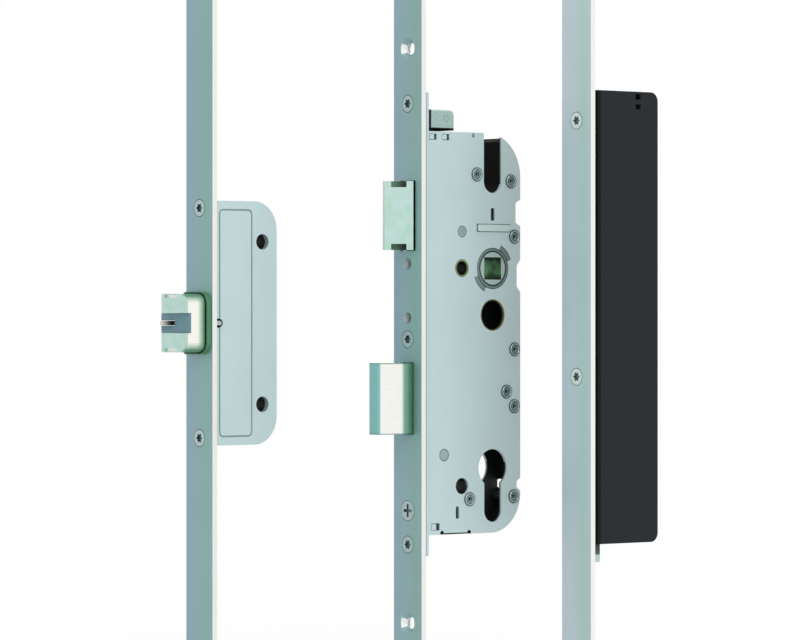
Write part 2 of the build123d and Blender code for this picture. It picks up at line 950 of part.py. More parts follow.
def rack_teeth():
    """The teeth of the rack, from root to tip."""
    root_x = rack_line - gear_module * gear_dedendum_share
    tip_x = rack_line + gear_module * gear_addendum_share
    root_half = tooth_half(gear_root_half_share)
    tip_half = tooth_half(gear_tip_half_share)
    teeth = Sketch()
    for z in rack_heights():
        teeth += polygon(
            (root_x, z - root_half),
            (tip_x, z - tip_half),
            (tip_x, z + tip_half),
            (root_x, z + root_half),
        )
    return teeth


def key_gear():
    """The gear that the profile cylinder's cam turns, with one tooth towards the rack."""
    root = gear_radius - gear_module * gear_dedendum_share
    tip = gear_radius + gear_module * gear_addendum_share
    root_half = tooth_half(gear_root_half_share)
    tip_half = tooth_half(gear_tip_half_share)
    tooth = polygon((0, -root_half), (root, -root_half), (tip, -tip_half), (tip, tip_half),
                    (root, root_half), (0, root_half))
    shape = Circle(root)
    for step in range(gear_teeth):
        shape += Rot(0, 0, 180 + step * 360 / gear_teeth) * tooth
    shape -= Circle(gear_axle_radius + running_fit)
    half = inner_half - free_gap
    return plate_y(Pos(gear_x, gear_z) * shape, around(0, half))


def drive_carriage():
    """The block on top of the case: a shell over the slide's top end."""
    across = (carriage_front, carriage_rear)
    up = (carriage_low, carriage_low + carriage_tall)
    outer = rounded(across, up, [0, 0, carriage_radius, carriage_front_radius])
    tooth_x = (carriage_rear - carriage_tooth_long, carriage_rear)
    outer += rect(tooth_x, (carriage_low - carriage_tooth_deep, carriage_low + carriage_wall))
    hollow_x = (carriage_front + carriage_wall, carriage_rear - carriage_wall)
    hollow_z = (carriage_low + carriage_wall, carriage_low + carriage_tall - carriage_wall)
    shell = plate_y(outer, (-case_half, slide_y[0]))
    shell = chamfer(shell.faces().sort_by(Axis.Y)[0].edges(), carriage_bevel)
    hollow = block(hollow_x, (-case_half + carriage_wall, slide_y[0] + overrun), hollow_z)
    return shell - hollow


def upper_strip():
    """The strip above the case, a fork round the screws, keyed to the slide's nose."""
    fixing = fixing_half_spacing
    shape = rect(around(0, strip_half), (upper_strip_bottom, upper_strip_top))
    low = upper_strip_bottom - overrun - strip_slot_half
    shape -= wide_slot((0, low), (0, fixing), strip_slot_half)
    key_up = (nose_low - running_fit, nose_low + nose_tall + running_fit)
    shape -= rect((slide_y[0] - running_fit, slide_y[1] + running_fit), key_up)
    return plate_x(shape, strip_x)


def lower_strip():
    """The strip below the case, slotted round the screws and keyed to the slide's foot."""
    shape = rect(around(0, strip_half), (lower_strip_bottom, lower_strip_top))
    shape -= wide_slot((0, lug_screw_bottom - drive_lift), (0, cylinder_screw_z), strip_slot_half)
    low = lower_strip_bottom - overrun - strip_slot_half
    shape -= wide_slot((0, low), (0, -fixing_half_spacing), strip_slot_half)
    key_up = (foot_low - running_fit, lower_strip_top + overrun)
    shape -= rect((slide_y[0] - running_fit, slide_y[1] + running_fit), key_up)
    return plate_x(shape, strip_x)


def dead_bolt():
    """The thrown deadbolt, with its nose eased and a hole for its pin."""
    body_x = (forend_face - bolt_throw, bolt_tail)
    body = block(body_x, around(0, bolt_half), (bolt_low, bolt_low + bolt_tall))
    body = fillet(body.edges().filter_by(Axis.Z).group_by(Axis.X)[0], bolt_nose_radius)
    hole = around(0, bolt_half + overrun)
    return body - bar_y(bolt_pin_radius + running_fit, bolt_pin_x, hole, bolt_pin_z)


def bevel_points(depth):
    """The near and far ends of the latch's bevel, moved into the latch by depth."""
    near = Vector(forend_face - latch_near_reach, -latch_half)
    far = Vector(forend_face - latch_reach, latch_half - latch_flat)
    along = (far - near).normalized()
    inward = Vector(along.Y, -along.X) * depth
    return near + inward, far + inward


def latch_pocket(low, high):
    """The tool for a pocket across the bevel between two heights."""
    near, far = bevel_points(0)
    run = far - near
    start = near + run * latch_pocket_start_share
    end = near + run * latch_pocket_end_share
    inward = Vector(run.Y, -run.X).normalized()
    depth = latch_plate_thick + latch_pocket_into
    corners = [start - inward * overrun, end - inward * overrun]
    corners += [end + inward * depth, start + inward * depth]
    return plate_z(polygon(*[(corner.X, corner.Y) for corner in corners]), (low, high))


def latch_pockets():
    """The pockets at the top and bottom of the latch's bevel."""
    high = latch_low + latch_tall
    upper = latch_pocket(high - latch_pocket_deep, high + overrun)
    return upper + latch_pocket(latch_low - overrun, latch_low + latch_pocket_deep)


def latch_bolt():
    """The latch: bevelled head, shank with a guide slot, and a hooked tail."""
    near, far = bevel_points(latch_plate_thick)
    tip_x = forend_face - latch_reach
    head = polygon(
        (latch_back, -latch_half),
        (forend_face - latch_near_reach, -latch_half),
        (near.X, near.Y),
        (far.X, far.Y),
        (tip_x, latch_half - latch_flat),
        (tip_x, latch_half),
        (latch_back, latch_half),
    )
    latch = plate_z(head, (latch_low, latch_low + latch_tall)) - latch_pockets()
    shank = rect((latch_back, shank_end), (shank_low, shank_top))
    shank += rect((latch_back, tail_end), (tail_low, shank_top))
    shank += rect((tail_end - tail_hook_thick, tail_end), (tail_hook_low, shank_top))
    guide_start = (latch_guide_x - latch_reach, latch_guide_z)
    guide = (latch_guide_x, latch_guide_z)
    shank -= wide_slot(guide_start, guide, latch_guide_radius + running_fit)
    return latch + plate_y(shank, around(0, shank_half))


def latch_face():
    """The lighter plate that forms the latch's bevel."""
    near, far = bevel_points(0)
    near_in, far_in = bevel_points(latch_plate_thick)
    shape = polygon((near.X, near.Y), (far.X, far.Y), (far_in.X, far_in.Y), (near_in.X, near_in.Y))
    return plate_z(shape, (latch_low, latch_low + latch_tall)) - latch_pockets()


def follower_point(reach, turn):
    """A point at this reach from the spindle, turned this far from straight up."""
    angle = math.radians(turn)
    return spindle_x + reach * math.sin(angle), spindle_z + reach * math.cos(angle)


def follower_hub():
    """The follower: journals, flange, the latch's arm and the spring's horn."""
    hub = bar_y(follower_radius, spindle_x, around(0, case_half), spindle_z)
    flange_span = around(0, inner_half - free_gap)
    hub += bar_y(follower_flange_radius, spindle_x, flange_span, spindle_z)
    lean = -follower_throw / 2
    centre = (spindle_x, spindle_z)
    arm = wide_slot(centre, follower_point(arm_reach, lean), arm_half)
    arm += wide_slot(centre, follower_point(-horn_reach, lean), horn_half)
    hub += plate_y(arm, around(0, arm_half_thick))
    hole = Pos(*centre) * Rectangle(spindle_square, spindle_square)
    return hub - plate_y(hole, around(0, case_half + overrun))


# Locking point: fixed pieces

point_screw_heights = (point_z + box_screw_offset, point_z - box_screw_offset)


def point_section(grow):
    """The sprung bolt's section in Y and Z, made larger by grow."""
    near = point_near_radius + grow
    far = point_far_radius + grow
    across = around(0, point_half + grow)
    return rounded(across, around(point_z, point_half_tall + grow), [near, far, far, near])


def side_forend(heights):
    """The forend of a side length, with its own fixing holes."""
    forend = cut_star_holes(forend_blank(), heights)
    for z in (side_fixing_bottom, side_fixing_top):
        forend -= countersink(z, fixing_head_radius, fixing_hole_radius)
    return forend


def point_forend():
    """The locking point's forend, with the window that holds the collar."""
    window = point_section(collar_play + collar_wall)
    return side_forend(point_screw_heights) - plate_x(window, (forend_face - overrun, overrun))


def box_shape(inset):
    """The box seen from the side, drawn in by inset except at its open front."""
    radius = box_radius - inset
    up = around(point_z, box_half_tall - inset)
    return rounded((0, box_rear - inset), up, [0, radius, radius, 0])


def box_places():
    """The two bushed holes of the box."""
    return [(box_hole_x, point_z - box_hole_offset), (box_hole_x, point_z + box_hole_offset)]


def box_plate(y):
    """One side plate of the box, with its two holes."""
    shape = box_shape(0)
    for x, z in box_places():
        shape -= disc(box_hole_radius, x, z)
    return plate_y(shape, y)


def box_tray():
    """The far shell of the box: plate, walls and the lugs that the screws hold."""
    tray = box_plate((box_inner, box_half))
    tray += plate_y(box_shape(0) - box_shape(box_sheet), (-box_inner, box_inner))
    end = box_half_tall - box_sheet / 2
    lug_x = (box_lug_x, box_lug_x + box_lug_thick)
    lug_y = (-box_inner, point_slide_y[0] - free_gap)
    top_lug = (point_screw_heights[0] - box_lug_half, point_z + end)
    low_lug = (point_z - end, point_screw_heights[1] + box_lug_half)
    tray += block(lug_x, lug_y, top_lug) + block(lug_x, lug_y, low_lug)
    strip_side = around(0, strip_half + free_gap)
    tray -= block((0, strip_x[1] + free_gap), strip_side, around(point_z, box_half_tall + overrun))
    for z in point_screw_heights:
        tray -= bar_x(screw_shank_radius + running_fit, (0, box_lug_x + overrun), 0, z)
    return tray


def box_cover():
    """The near shell of the box, with a groove round its panel and a notch at the front."""
    cover = box_plate((-box_half, -box_inner))
    panel_up = around(point_z, box_half_tall - panel_inset)
    panel = rounded((panel_front, panel_rear), panel_up, [panel_radius] * 4)
    inner_x = (panel_front + panel_groove, panel_rear - panel_groove)
    inner_up = around(point_z, box_half_tall - panel_inset - panel_groove)
    inner_radius = panel_radius - panel_groove
    groove = panel - rounded(inner_x, inner_up, [inner_radius] * 4)
    cover -= plate_y(groove, (-box_half - overrun, -box_half + panel_groove_deep))
    notch_end = (notch_reach - notch_half, point_z)
    notch = wide_slot((-overrun, point_z), notch_end, notch_half)
    return cover - plate_y(notch, (-box_half - overrun, -box_inner + overrun))


def box_dowel():
    """The small stud in the notch, seated in the forend's back."""
    stud_y = (-box_half, -point_half - free_gap)
    stud = block((0, dowel_x), stud_y, around(point_z, dowel_radius))
    return stud + bar_y(dowel_radius, dowel_x, stud_y, point_z)


def box_bushes():
    """The sleeves between the box's plates, round its two holes."""
    bushes = []
    for x, z in box_places():
        ring = disc(box_hole_radius + box_bush_wall, x, z) - disc(box_hole_radius, x, z)
        bushes.append(plate_y(ring, around(0, box_inner)))
    return bushes


def bolt_collar():
    """The collar that stands proud of the forend round the sprung bolt."""
    ring = point_section(collar_play + collar_wall) - point_section(collar_play)
    return plate_x(ring, (forend_face - collar_proud, 0))


def bolt_seal():
    """The black lip on the collar's front edge."""
    ring = point_section(seal_play + seal_wide) - point_section(seal_play)
    front = forend_face - collar_proud
    return plate_x(ring, (front - seal_thick, front))


# Locking point: moving pieces

def end_line(depth, y):
    """The X of the bolt's slanting end at this Y, moved into the bolt by depth."""
    slope = (point_tip_far - point_tip_near) / (2 * point_half)
    return point_tip_near + slope * (y + point_half) + depth


def end_wedge(depth, back):
    """Everything between the slanting end, moved in by depth, and the plane X = back."""
    reach = point_half + overrun
    shape = polygon(
        (end_line(depth, -reach), -reach),
        (back, -reach),
        (back, reach),
        (end_line(depth, reach), reach),
    )
    return plate_z(shape, around(point_z, point_half_tall + overrun))


def end_pockets():
    """The tools for the two shallow pockets in the end plate."""
    across = (end_pocket_near, end_pocket_far)
    radii = [end_pocket_radius] * 4
    high = point_half_tall - end_pocket_inset
    low = high - end_pocket_tall
    shape = rounded(across, (point_z + low, point_z + high), radii)
    shape += rounded(across, (point_z - high, point_z - low), radii)
    return plate_x(shape, (point_tip_far - overrun, point_tip_near + end_plate_thick))


def insert_channel():
    """The channel in the bolt's end that holds the insert, shallower at the near wall."""
    far_y = point_half + overrun
    wall_y = insert_near_wall - point_half
    up = around(point_z, insert_half_tall + running_fit)
    channel = block((point_tip_far - overrun, insert_near_back), (-far_y, wall_y), up)
    return channel + block((point_tip_far - overrun, insert_back), (wall_y, far_y), up)


def trigger_bore():
    """The space in the bolt for the tongue's foot and its spring."""
    foot_x = (insert_back - running_fit, tongue_back + tongue_travel + free_gap)
    foot_y = (tongue_foot_near - tongue_play, point_half + overrun)
    up = around(point_z, tongue_half_thick + tongue_play)
    spring_radius = trigger_spring_radius + trigger_spring_wire / 2 + bore_play
    spring_x = (tongue_back, trigger_spring_end)
    return block(foot_x, foot_y, up) + bar_x(spring_radius, spring_x, trigger_spring_y, point_z)


def auto_bolt():
    """The sprung bolt: head, shank, and the bores for its springs and pin."""
    wide = plate_x(point_section(0), (point_tip_far, point_back))
    bolt = wide & end_wedge(end_plate_thick, point_back)
    shank_y = around(0, point_shank_half)
    shank_z = around(point_z, point_shank_half_tall)
    bolt += block((point_back, point_shank_end), shank_y, shank_z)
    bolt -= insert_channel() + trigger_bore()
    spring_bore = point_spring_radius + point_spring_wire / 2 + bore_play
    spring_x = (point_spring_start, point_shank_end + overrun)
    bolt -= bar_x(spring_bore, spring_x, 0, point_z - point_spring_drop)
    pin_span = around(0, point_shank_half + overrun)
    pin_radius = point_pin_radius + running_fit
    return bolt - bar_y(pin_radius, point_pin_x, pin_span, point_z + point_pin_rise)


def end_plate():
    """The lighter plate on the bolt's slanting end."""
    plate = plate_x(point_section(0), (point_tip_far, point_back))
    plate = plate & (end_wedge(0, point_back) - end_wedge(end_plate_thick, point_back))
    return plate - insert_channel() - end_pockets()


def bolt_insert():
    """The sliding insert across the bolt's end, hollow along its ramp."""
    near_x = forend_face - insert_near_reach
    far_x = forend_face - insert_far_reach
    middle_x = (near_x + far_x) / 2 + insert_sag
    wall_y = insert_near_wall - point_half
    ramp = ThreePointArc((near_x, -point_half), (middle_x, 0), (far_x, point_half))
    edges = [
        ramp,
        Line((far_x, point_half), (insert_back, point_half)),
        Line((insert_back, point_half), (insert_back, wall_y)),
        Line((insert_back, wall_y), (insert_near_back, wall_y)),
        Line((insert_near_back, wall_y), (insert_near_back, -point_half)),
        Line((insert_near_back, -point_half), (near_x, -point_half)),
    ]
    insert = plate_z(make_face(edges), around(point_z, insert_half_tall))
    slot_y = (tongue_near - tongue_play, point_half + overrun)
    slot_z = around(point_z, tongue_half_thick + tongue_play)
    return insert - block((far_x - overrun, insert_back + overrun), slot_y, slot_z)


def trigger_tongue():
    """The steel tongue that the strike plate presses in."""
    tip_x = forend_face - tongue_reach
    up = around(point_z, tongue_half_thick)
    blade = rounded((tip_x, tongue_back), (tongue_near, tongue_far), [tongue_half_thick, 0, 0, 0])
    foot_x = (tongue_back - tongue_foot_long + free_gap, tongue_back)
    return plate_z(blade, up) + block(foot_x, (tongue_foot_near, tongue_far), up)


def cam_pin():
    """The pin that joins the sprung bolt to its slide."""
    span = (-point_shank_half, point_slide_y[1])
    return bar_y(point_pin_radius, point_pin_x, span, point_z + point_pin_rise)


def point_slide():
    """The C-shaped slide that draws the sprung bolt back as it lifts."""
    def up(low, high):
        return (point_z + low, point_z + high)

    neck_x = (point_slide_front, point_slide_neck)
    shape = rect(neck_x, up(point_slide_low, point_slide_high))
    middle_x = (point_slide_front, point_slide_rear)
    shape += rect(middle_x, up(-point_slide_reach, point_slide_reach - drive_lift))
    arm_x = (strip_x[1] + free_gap, point_slide_front)
    shape += rect(arm_x, up(point_arm_gap_high, point_slide_high))
    shape += rect(arm_x, up(point_slide_low, point_arm_gap_low))
    for low in (upper_tenon_low, lower_tenon_low):
        shape += rect((strip_x[0], point_slide_front), up(low, low + tenon_tall))
    pin = (point_pin_x, point_z + point_pin_rise)
    cam_end = (pin[0] + point_travel, pin[1] - drive_lift)
    shape -= wide_slot(pin, cam_end, point_pin_radius + cam_slot_play)
    return plate_y(shape, point_slide_y)


def point_strip(low, high, slots, tenon_low):
    """A drive strip of the locking point, keyed to the slide's tenon."""
    tenon_y = (point_slide_y[0] - running_fit, point_slide_y[1] + running_fit)
    tenon_z = (point_z + tenon_low - running_fit, point_z + tenon_low + tenon_tall + running_fit)
    return strip(strip_half, low, high, slots) - block((0, strip_x[1] + overrun), tenon_y, tenon_z)


# Motor length: fixed pieces

motor_screw_heights = (housing_screw_top, housing_screw_low)


def housing_shape(inset):
    """The housing seen from the side, drawn in by inset."""
    across = (housing_front + inset, housing_rear - inset)
    up = (housing_bottom + inset, housing_top - inset)
    radius = housing_radius - inset
    return rounded(across, up, [0, radius, radius, 0])


def post_places():
    """The middles of the posts that the lid is pinned to."""
    x = housing_front + lid_post_x_share * (housing_rear - housing_front)
    tall = housing_top - housing_bottom
    return [(x, housing_bottom + share * tall) for share in lid_post_shares]


def motor_housing():
    """The near shell: face, walls and posts, with two windows and the foot's opening."""
    outer = housing_shape(0)
    inner = housing_shape(housing_wall)
    housing = plate_y(outer, (-housing_half, -housing_inner))
    housing += plate_y(outer - inner, (-housing_inner, housing_inner))
    for x, z in post_places():
        housing += bar_y(lid_post_radius, x, (-housing_inner, housing_inner), z)
        housing -= bar_y(lid_pin_radius + running_fit, x, (0, housing_inner + overrun), z)
    pane = (pane_x, pane_x + pane_wide)
    through = (-housing_half - overrun, -housing_inner + overrun)
    housing -= block(pane, through, (upper_pane_low, upper_pane_low + upper_pane_tall))
    housing -= block(pane, through, (lower_pane_low, lower_pane_low + lower_pane_tall))
    foot_x = (housing_front - overrun, foot_bar_front + foot_bar_thick + free_gap)
    foot_z = (housing_bottom - overrun, foot_base + foot_base_tall + drive_lift + free_gap)
    housing -= block(foot_x, around(0, foot_half + free_gap), foot_z)
    wall_x = (housing_front - overrun, housing_front + housing_wall + overrun)
    for z in motor_screw_heights:
        housing -= bar_x(screw_shank_radius + running_fit, wall_x, 0, z)
    return housing


def motor_lid():
    """The far shell of the housing, a plate with pin holes."""
    shape = housing_shape(0)
    for x, z in post_places():
        shape -= disc(lid_pin_radius + running_fit, x, z)
    return plate_y(shape, (housing_inner, housing_half))


def lid_pins():
    """The pins that hold the lid on its posts."""
    return [bar_y(lid_pin_radius, x, (0, housing_half), z) for x, z in post_places()]


def motor():
    """The motor's can with a smaller end cap."""
    can = bar_z(motor_radius, motor_x, 0, (motor_low, motor_low + motor_long))
    cap = (motor_low + motor_long, motor_low + motor_long + motor_cap_long)
    return can + bar_z(motor_cap_radius, motor_x, 0, cap)


def gearbox():
    """The gearbox below the motor, grooved between its stages."""
    low = motor_low - gearbox_long
    box = bar_z(motor_radius, motor_x, 0, (low, motor_low))
    stage = gearbox_long / gearbox_rib_count
    for step in range(1, gearbox_rib_count):
        span = around(low + step * stage, gearbox_rib_deep)
        groove = bar_z(motor_radius + overrun, motor_x, 0, span)
        box -= groove - bar_z(motor_radius - gearbox_rib_deep, motor_x, 0, span)
    return box


def lead_screw():
    """The lead screw: hub, grooved shaft and lower journal."""
    top = motor_low - gearbox_long
    shaft_top = top - screw_hub_long
    screw = bar_z(screw_hub_radius, motor_x, 0, (shaft_top, top))
    screw += bar_z(screw_radius, motor_x, 0, (screw_low, shaft_top))
    screw += bar_z(screw_journal_radius, motor_x, 0, (screw_low - screw_journal_long, screw_low))
    count = int((shaft_top - screw_low) / screw_pitch)
    for step in range(1, count):
        span = around(screw_low + step * screw_pitch, screw_groove_wide / 2)
        ring = bar_z(screw_radius + overrun, motor_x, 0, span)
        screw -= ring - bar_z(screw_radius - screw_groove_deep, motor_x, 0, span)
    return screw


def screw_bearing():
    """The block that carries the lead screw's lower journal."""
    top = screw_low - running_fit
    span = (top - bearing_tall, top)
    side_y = around(0, housing_inner - running_fit)
    bearing = block(around(motor_x, bearing_half), side_y, span)
    hole = (top - bearing_tall - overrun, top + overrun)
    return bearing - bar_z(screw_journal_radius + running_fit, motor_x, 0, hole)


def circuit_board():
    """The motor's circuit board with its components."""
    board_y_span = (board_y, board_y + board_thick)
    board = block((board_front, board_rear), board_y_span, (board_low, board_high))
    wide = board_rear - board_front
    tall = board_high - board_low
    for across, up in chip_shares:
        x = board_front + across * wide
        z = board_low + up * tall
        board += block(around(x, chip_half), (board_y - chip_tall, board_y), around(z, chip_half))
    return board


# Motor length: moving pieces

def screw_nut():
    """The nut on the lead screw."""
    up = (nut_low, nut_low + nut_tall)
    nut = block(around(motor_x, nut_half), around(0, nut_half), up)
    hole = (nut_low - overrun, nut_low + nut_tall + overrun)
    return nut - bar_z(screw_radius + running_fit, motor_x, 0, hole)


def drive_foot():
    """The bent bar from the nut down and forward to the drive strip."""
    bar = (foot_bar_front, foot_bar_front + foot_bar_thick)
    foot = block(bar, around(0, foot_half), (foot_base, nut_low + nut_tall))
    base = (foot_base, foot_base + foot_base_tall)
    foot += block((strip_x[1], bar[1]), around(0, foot_half), base)
    tenon = around(0, foot_half / 2)
    foot += block((strip_x[0], strip_x[1]), tenon, base)
    return foot + block((bar[1], motor_x - nut_half), around(0, foot_half), (nut_low, nut_low + nut_tall))


def motor_strip():
    """The drive strip of the motor length, keyed to the foot."""
    blank = strip(strip_half, side_strip_bottom, side_strip_top, motor_screw_heights)
    key_z = (foot_base - running_fit, foot_base + foot_base_tall + running_fit)
    key_y = around(0, foot_half / 2 + running_fit)
    return blank - block((0, strip_x[1] + overrun), key_y, key_z)


def selector_slider():
    """The small slider behind the two windows."""
    face = -housing_inner + free_gap
    y = (face, face + selector_thick)
    up = (selector_low, selector_low + selector_tall)
    return block(around(pane_x + pane_wide / 2, selector_half), y, up)


# Main length
lug_end = case_front + case_sheet + screw_reach
save("main_forend", main_place, main_forend())
save("main_star_screws", main_place, *star_screws(main_screw_heights, lug_end))
save("main_sleeves", main_place, *[sleeve(z, case_front) for z in main_screw_heights])
save("cylinder_screw", main_place, cylinder_screw())
save("case_tray", main_place, case_tray())
save("case_cover", main_place, case_cover())
save("case_rivets", main_place, *[rivet(x, z) for x, z in rivet_places()])
save("guide_pins", main_place, *guide_pins())
save("slot_liner", main_place, slot_liner())
save("follower_rings", main_place, *follower_rings())
save("handle_bushes", main_place, *handle_bushes())
axle_span = (-inner_half + free_gap, inner_half)
save("key_gear_axle", main_place, bar_y(gear_axle_radius, gear_x, axle_span, gear_z))
save("key_gear", main_place, key_gear())
save("drive_slide", main_place, drive_slide())
save("drive_carriage", main_place, drive_carriage())
save("upper_drive_strip", main_place, upper_strip())
save("lower_drive_strip", main_place, lower_strip())
save("dead_bolt", main_place, dead_bolt())
pin_span = (-bolt_half, slide_y[1])
save("dead_bolt_pin", main_place, bar_y(bolt_pin_radius, bolt_pin_x, pin_span, bolt_pin_z))
save("latch_bolt", main_place, latch_bolt())
save("latch_face", main_place, latch_face())
save("follower_hub", main_place, follower_hub())
spring_span = (latch_back, latch_spring_stop)
latch_spring_size = (latch_spring_radius, latch_spring_wire)
latch_spring = coil_x(latch_spring_turns, spring_span, 0, latch_spring_z, *latch_spring_size)
save("latch_spring", main_place, latch_spring)
horn_x, horn_z = follower_point(-horn_reach, -follower_throw / 2)
spring_span = (follower_spring_stop, horn_x - horn_half)
follower_spring_size = (follower_spring_radius, follower_spring_wire)
follower_spring = coil_x(follower_spring_turns, spring_span, 0, horn_z, *follower_spring_size)
save("follower_spring", main_place, follower_spring)

# Locking point
point_lug_end = box_lug_x + box_lug_thick + screw_reach
save("point_forend", point_place, point_forend())
save("point_star_screws", point_place, *star_screws(point_screw_heights, point_lug_end))
save("point_sleeves", point_place, *[sleeve(z, box_lug_x) for z in point_screw_heights])
save("box_tray", point_place, box_tray())
save("box_cover", point_place, box_cover())
save("box_bushes", point_place, *box_bushes())
save("box_dowel", point_place, box_dowel())
save("bolt_collar", point_place, bolt_collar())
save("bolt_seal", point_place, bolt_seal())
save("auto_bolt", point_place, auto_bolt())
save("bolt_end_plate", point_place, end_plate())
save("bolt_insert", point_place, bolt_insert())
save("trigger_tongue", point_place, trigger_tongue())
trigger_span = (tongue_back, trigger_spring_end)
trigger_size = (trigger_spring_radius, trigger_spring_wire)
trigger_spring = coil_x(trigger_spring_turns, trigger_span, trigger_spring_y, point_z, *trigger_size)
save("trigger_spring", point_place, trigger_spring)
point_span = (point_spring_start, box_rear - box_sheet)
point_size = (point_spring_radius, point_spring_wire)
point_spring_z = point_z - point_spring_drop
point_spring = coil_x(point_spring_turns, point_span, 0, point_spring_z, *point_size)
save("auto_bolt_spring", point_place, point_spring)
save("bolt_cam_pin", point_place, cam_pin())
save("point_slide", point_place, point_slide())
upper_span = (point_z + point_arm_gap_high, side_strip_top)
lower_span = (side_strip_bottom, point_z + point_arm_gap_low)
upper = point_strip(*upper_span, point_screw_heights[:1], upper_tenon_low)
lower = point_strip(*lower_span, point_screw_heights[1:], lower_tenon_low)
save("point_upper_strip", point_place, upper)
save("point_lower_strip", point_place, lower)

# Motor length
housing_end = housing_front + housing_wall + screw_reach
save("motor_forend", motor_place, side_forend(motor_screw_heights))
save("motor_star_screws", motor_place, *star_screws(motor_screw_heights, housing_end))
save("motor_sleeves", motor_place, *[sleeve(z, housing_front) for z in motor_screw_heights])
save("motor_housing", motor_place, motor_housing())
save("motor_lid", motor_place, motor_lid())
save("lid_pins", motor_place, *lid_pins())
save("motor", motor_place, motor())
save("gearbox", motor_place, gearbox())
save("lead_screw", motor_place, lead_screw())
save("screw_bearing", motor_place, screw_bearing())
save("circuit_board", motor_place, circuit_board())
save("screw_nut", motor_place, screw_nut())
save("drive_foot", motor_place, drive_foot())
save("motor_strip", motor_place, motor_strip())
save("selector_slider", motor_place, selector_slider())
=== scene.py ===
import bpy
import math
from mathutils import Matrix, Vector


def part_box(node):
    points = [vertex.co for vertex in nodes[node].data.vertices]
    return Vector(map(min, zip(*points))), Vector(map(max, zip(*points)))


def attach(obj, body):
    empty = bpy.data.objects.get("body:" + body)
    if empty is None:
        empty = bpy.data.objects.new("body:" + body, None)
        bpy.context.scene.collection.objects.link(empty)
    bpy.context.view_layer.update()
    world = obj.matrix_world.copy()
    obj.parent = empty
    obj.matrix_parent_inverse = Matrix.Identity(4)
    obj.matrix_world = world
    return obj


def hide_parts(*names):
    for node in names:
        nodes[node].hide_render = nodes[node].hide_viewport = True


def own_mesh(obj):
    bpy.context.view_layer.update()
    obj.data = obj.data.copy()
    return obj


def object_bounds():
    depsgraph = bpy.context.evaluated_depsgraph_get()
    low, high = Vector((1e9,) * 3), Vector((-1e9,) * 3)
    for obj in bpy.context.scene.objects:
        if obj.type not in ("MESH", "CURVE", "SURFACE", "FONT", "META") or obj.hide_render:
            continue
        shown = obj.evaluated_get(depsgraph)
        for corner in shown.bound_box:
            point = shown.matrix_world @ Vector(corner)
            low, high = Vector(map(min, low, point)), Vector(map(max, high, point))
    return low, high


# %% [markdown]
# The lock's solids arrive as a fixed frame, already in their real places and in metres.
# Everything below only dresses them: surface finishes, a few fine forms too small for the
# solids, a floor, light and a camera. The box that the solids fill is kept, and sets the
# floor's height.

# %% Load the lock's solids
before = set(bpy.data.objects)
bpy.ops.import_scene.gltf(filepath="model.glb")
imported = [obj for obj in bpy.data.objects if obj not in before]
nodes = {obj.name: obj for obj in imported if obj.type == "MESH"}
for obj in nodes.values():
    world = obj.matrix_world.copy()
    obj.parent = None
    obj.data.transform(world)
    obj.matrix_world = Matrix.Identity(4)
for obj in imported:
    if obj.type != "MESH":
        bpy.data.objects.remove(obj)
solid_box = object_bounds()

# %% [markdown]
# The three lengths of lock stand in a row that is turned a little from the X axis, as in
# a catalogue picture. One helper turns a place on a length, given in millimetres, into a
# place in the scene, so that later cells can speak of a length's own sizes.

# %% Where each length stands
mm = 0.001
row_turn = math.radians(40)
row_way = Vector((math.cos(row_turn), -math.sin(row_turn), 0))
row_steps = {"main": 0.0, "point": -95.1, "motor": 77.0}


def at(length, x, y, z):
    """A place on one length of lock, in metres."""
    return (Vector((x, y, z)) + row_way * row_steps[length]) * mm


for length in row_steps:
    print(length, "stands at", [round(v, 4) for v in at(length, 0, 0, 0)])

# %% [markdown]
# Shader maths reads best as plain sums. A Thread holds one output of a shader node, and
# adding or multiplying threads adds the Math nodes for it. The reflected forms, such as
# __rsub__, make "1 - mask" work as well as "mask - 1".

# %% Shader sums written as Python


class Thread:
    """One output of a shader node, which takes part in sums."""

    def __init__(self, finish, socket):
        self.finish = finish
        self.socket = socket

    def maths(self, operation, *values):
        """A Math node with this operation on these values."""
        settings = {"operation": operation}
        return self.finish.node("ShaderNodeMath", settings, dict(enumerate(values)))[0]

    def __add__(self, other):
        return self.maths("ADD", self, other)

    def __radd__(self, other):
        return self.maths("ADD", other, self)

    def __sub__(self, other):
        return self.maths("SUBTRACT", self, other)

    def __rsub__(self, other):
        return self.maths("SUBTRACT", other, self)

    def __mul__(self, other):
        return self.maths("MULTIPLY", self, other)

    def __rmul__(self, other):
        return self.maths("MULTIPLY", other, self)

    def __abs__(self):
        return self.maths("ABSOLUTE", self)

    def root(self):
        """The square root of this."""
        return self.maths("SQRT", self)

    def larger(self, other):
        """This or the other, whichever is more."""
        return self.maths("MAXIMUM", self, other)

    def smaller(self, other):
        """This or the other, whichever is less."""
        return self.maths("MINIMUM", self, other)

    def above(self, limit):
        """1 where this is more than the limit, else 0."""
        return self.maths("GREATER_THAN", self, limit)

    def ramp(self, low, high):
        """Runs from 0 to 1 as this runs from low to high, and stays within."""
        values = {"Value": self, "From Min": low, "From Max": high}
        return self.finish.node("ShaderNodeMapRange", {"clamp": True}, values)[0]


# %% [markdown]
# A ShaderTree holds the nodes of a material or of the world. Its node method makes any
# node: the settings come first, then the values or threads of its sockets. A Finish is one
# material with such a tree. Colours are written as the eye sees them, from 0 to 255, and
# turned into the linear numbers that a shader works with.

# %% Trees and finishes


def tone(red, green, blue):
    """A colour as seen, from 0 to 255, in the linear form that shaders use."""
    parts = [value / 255 for value in (red, green, blue)]
    linear = [v / 12.92 if v < 0.04045 else ((v + 0.055) / 1.055) ** 2.4 for v in parts]
    return (*linear, 1.0)


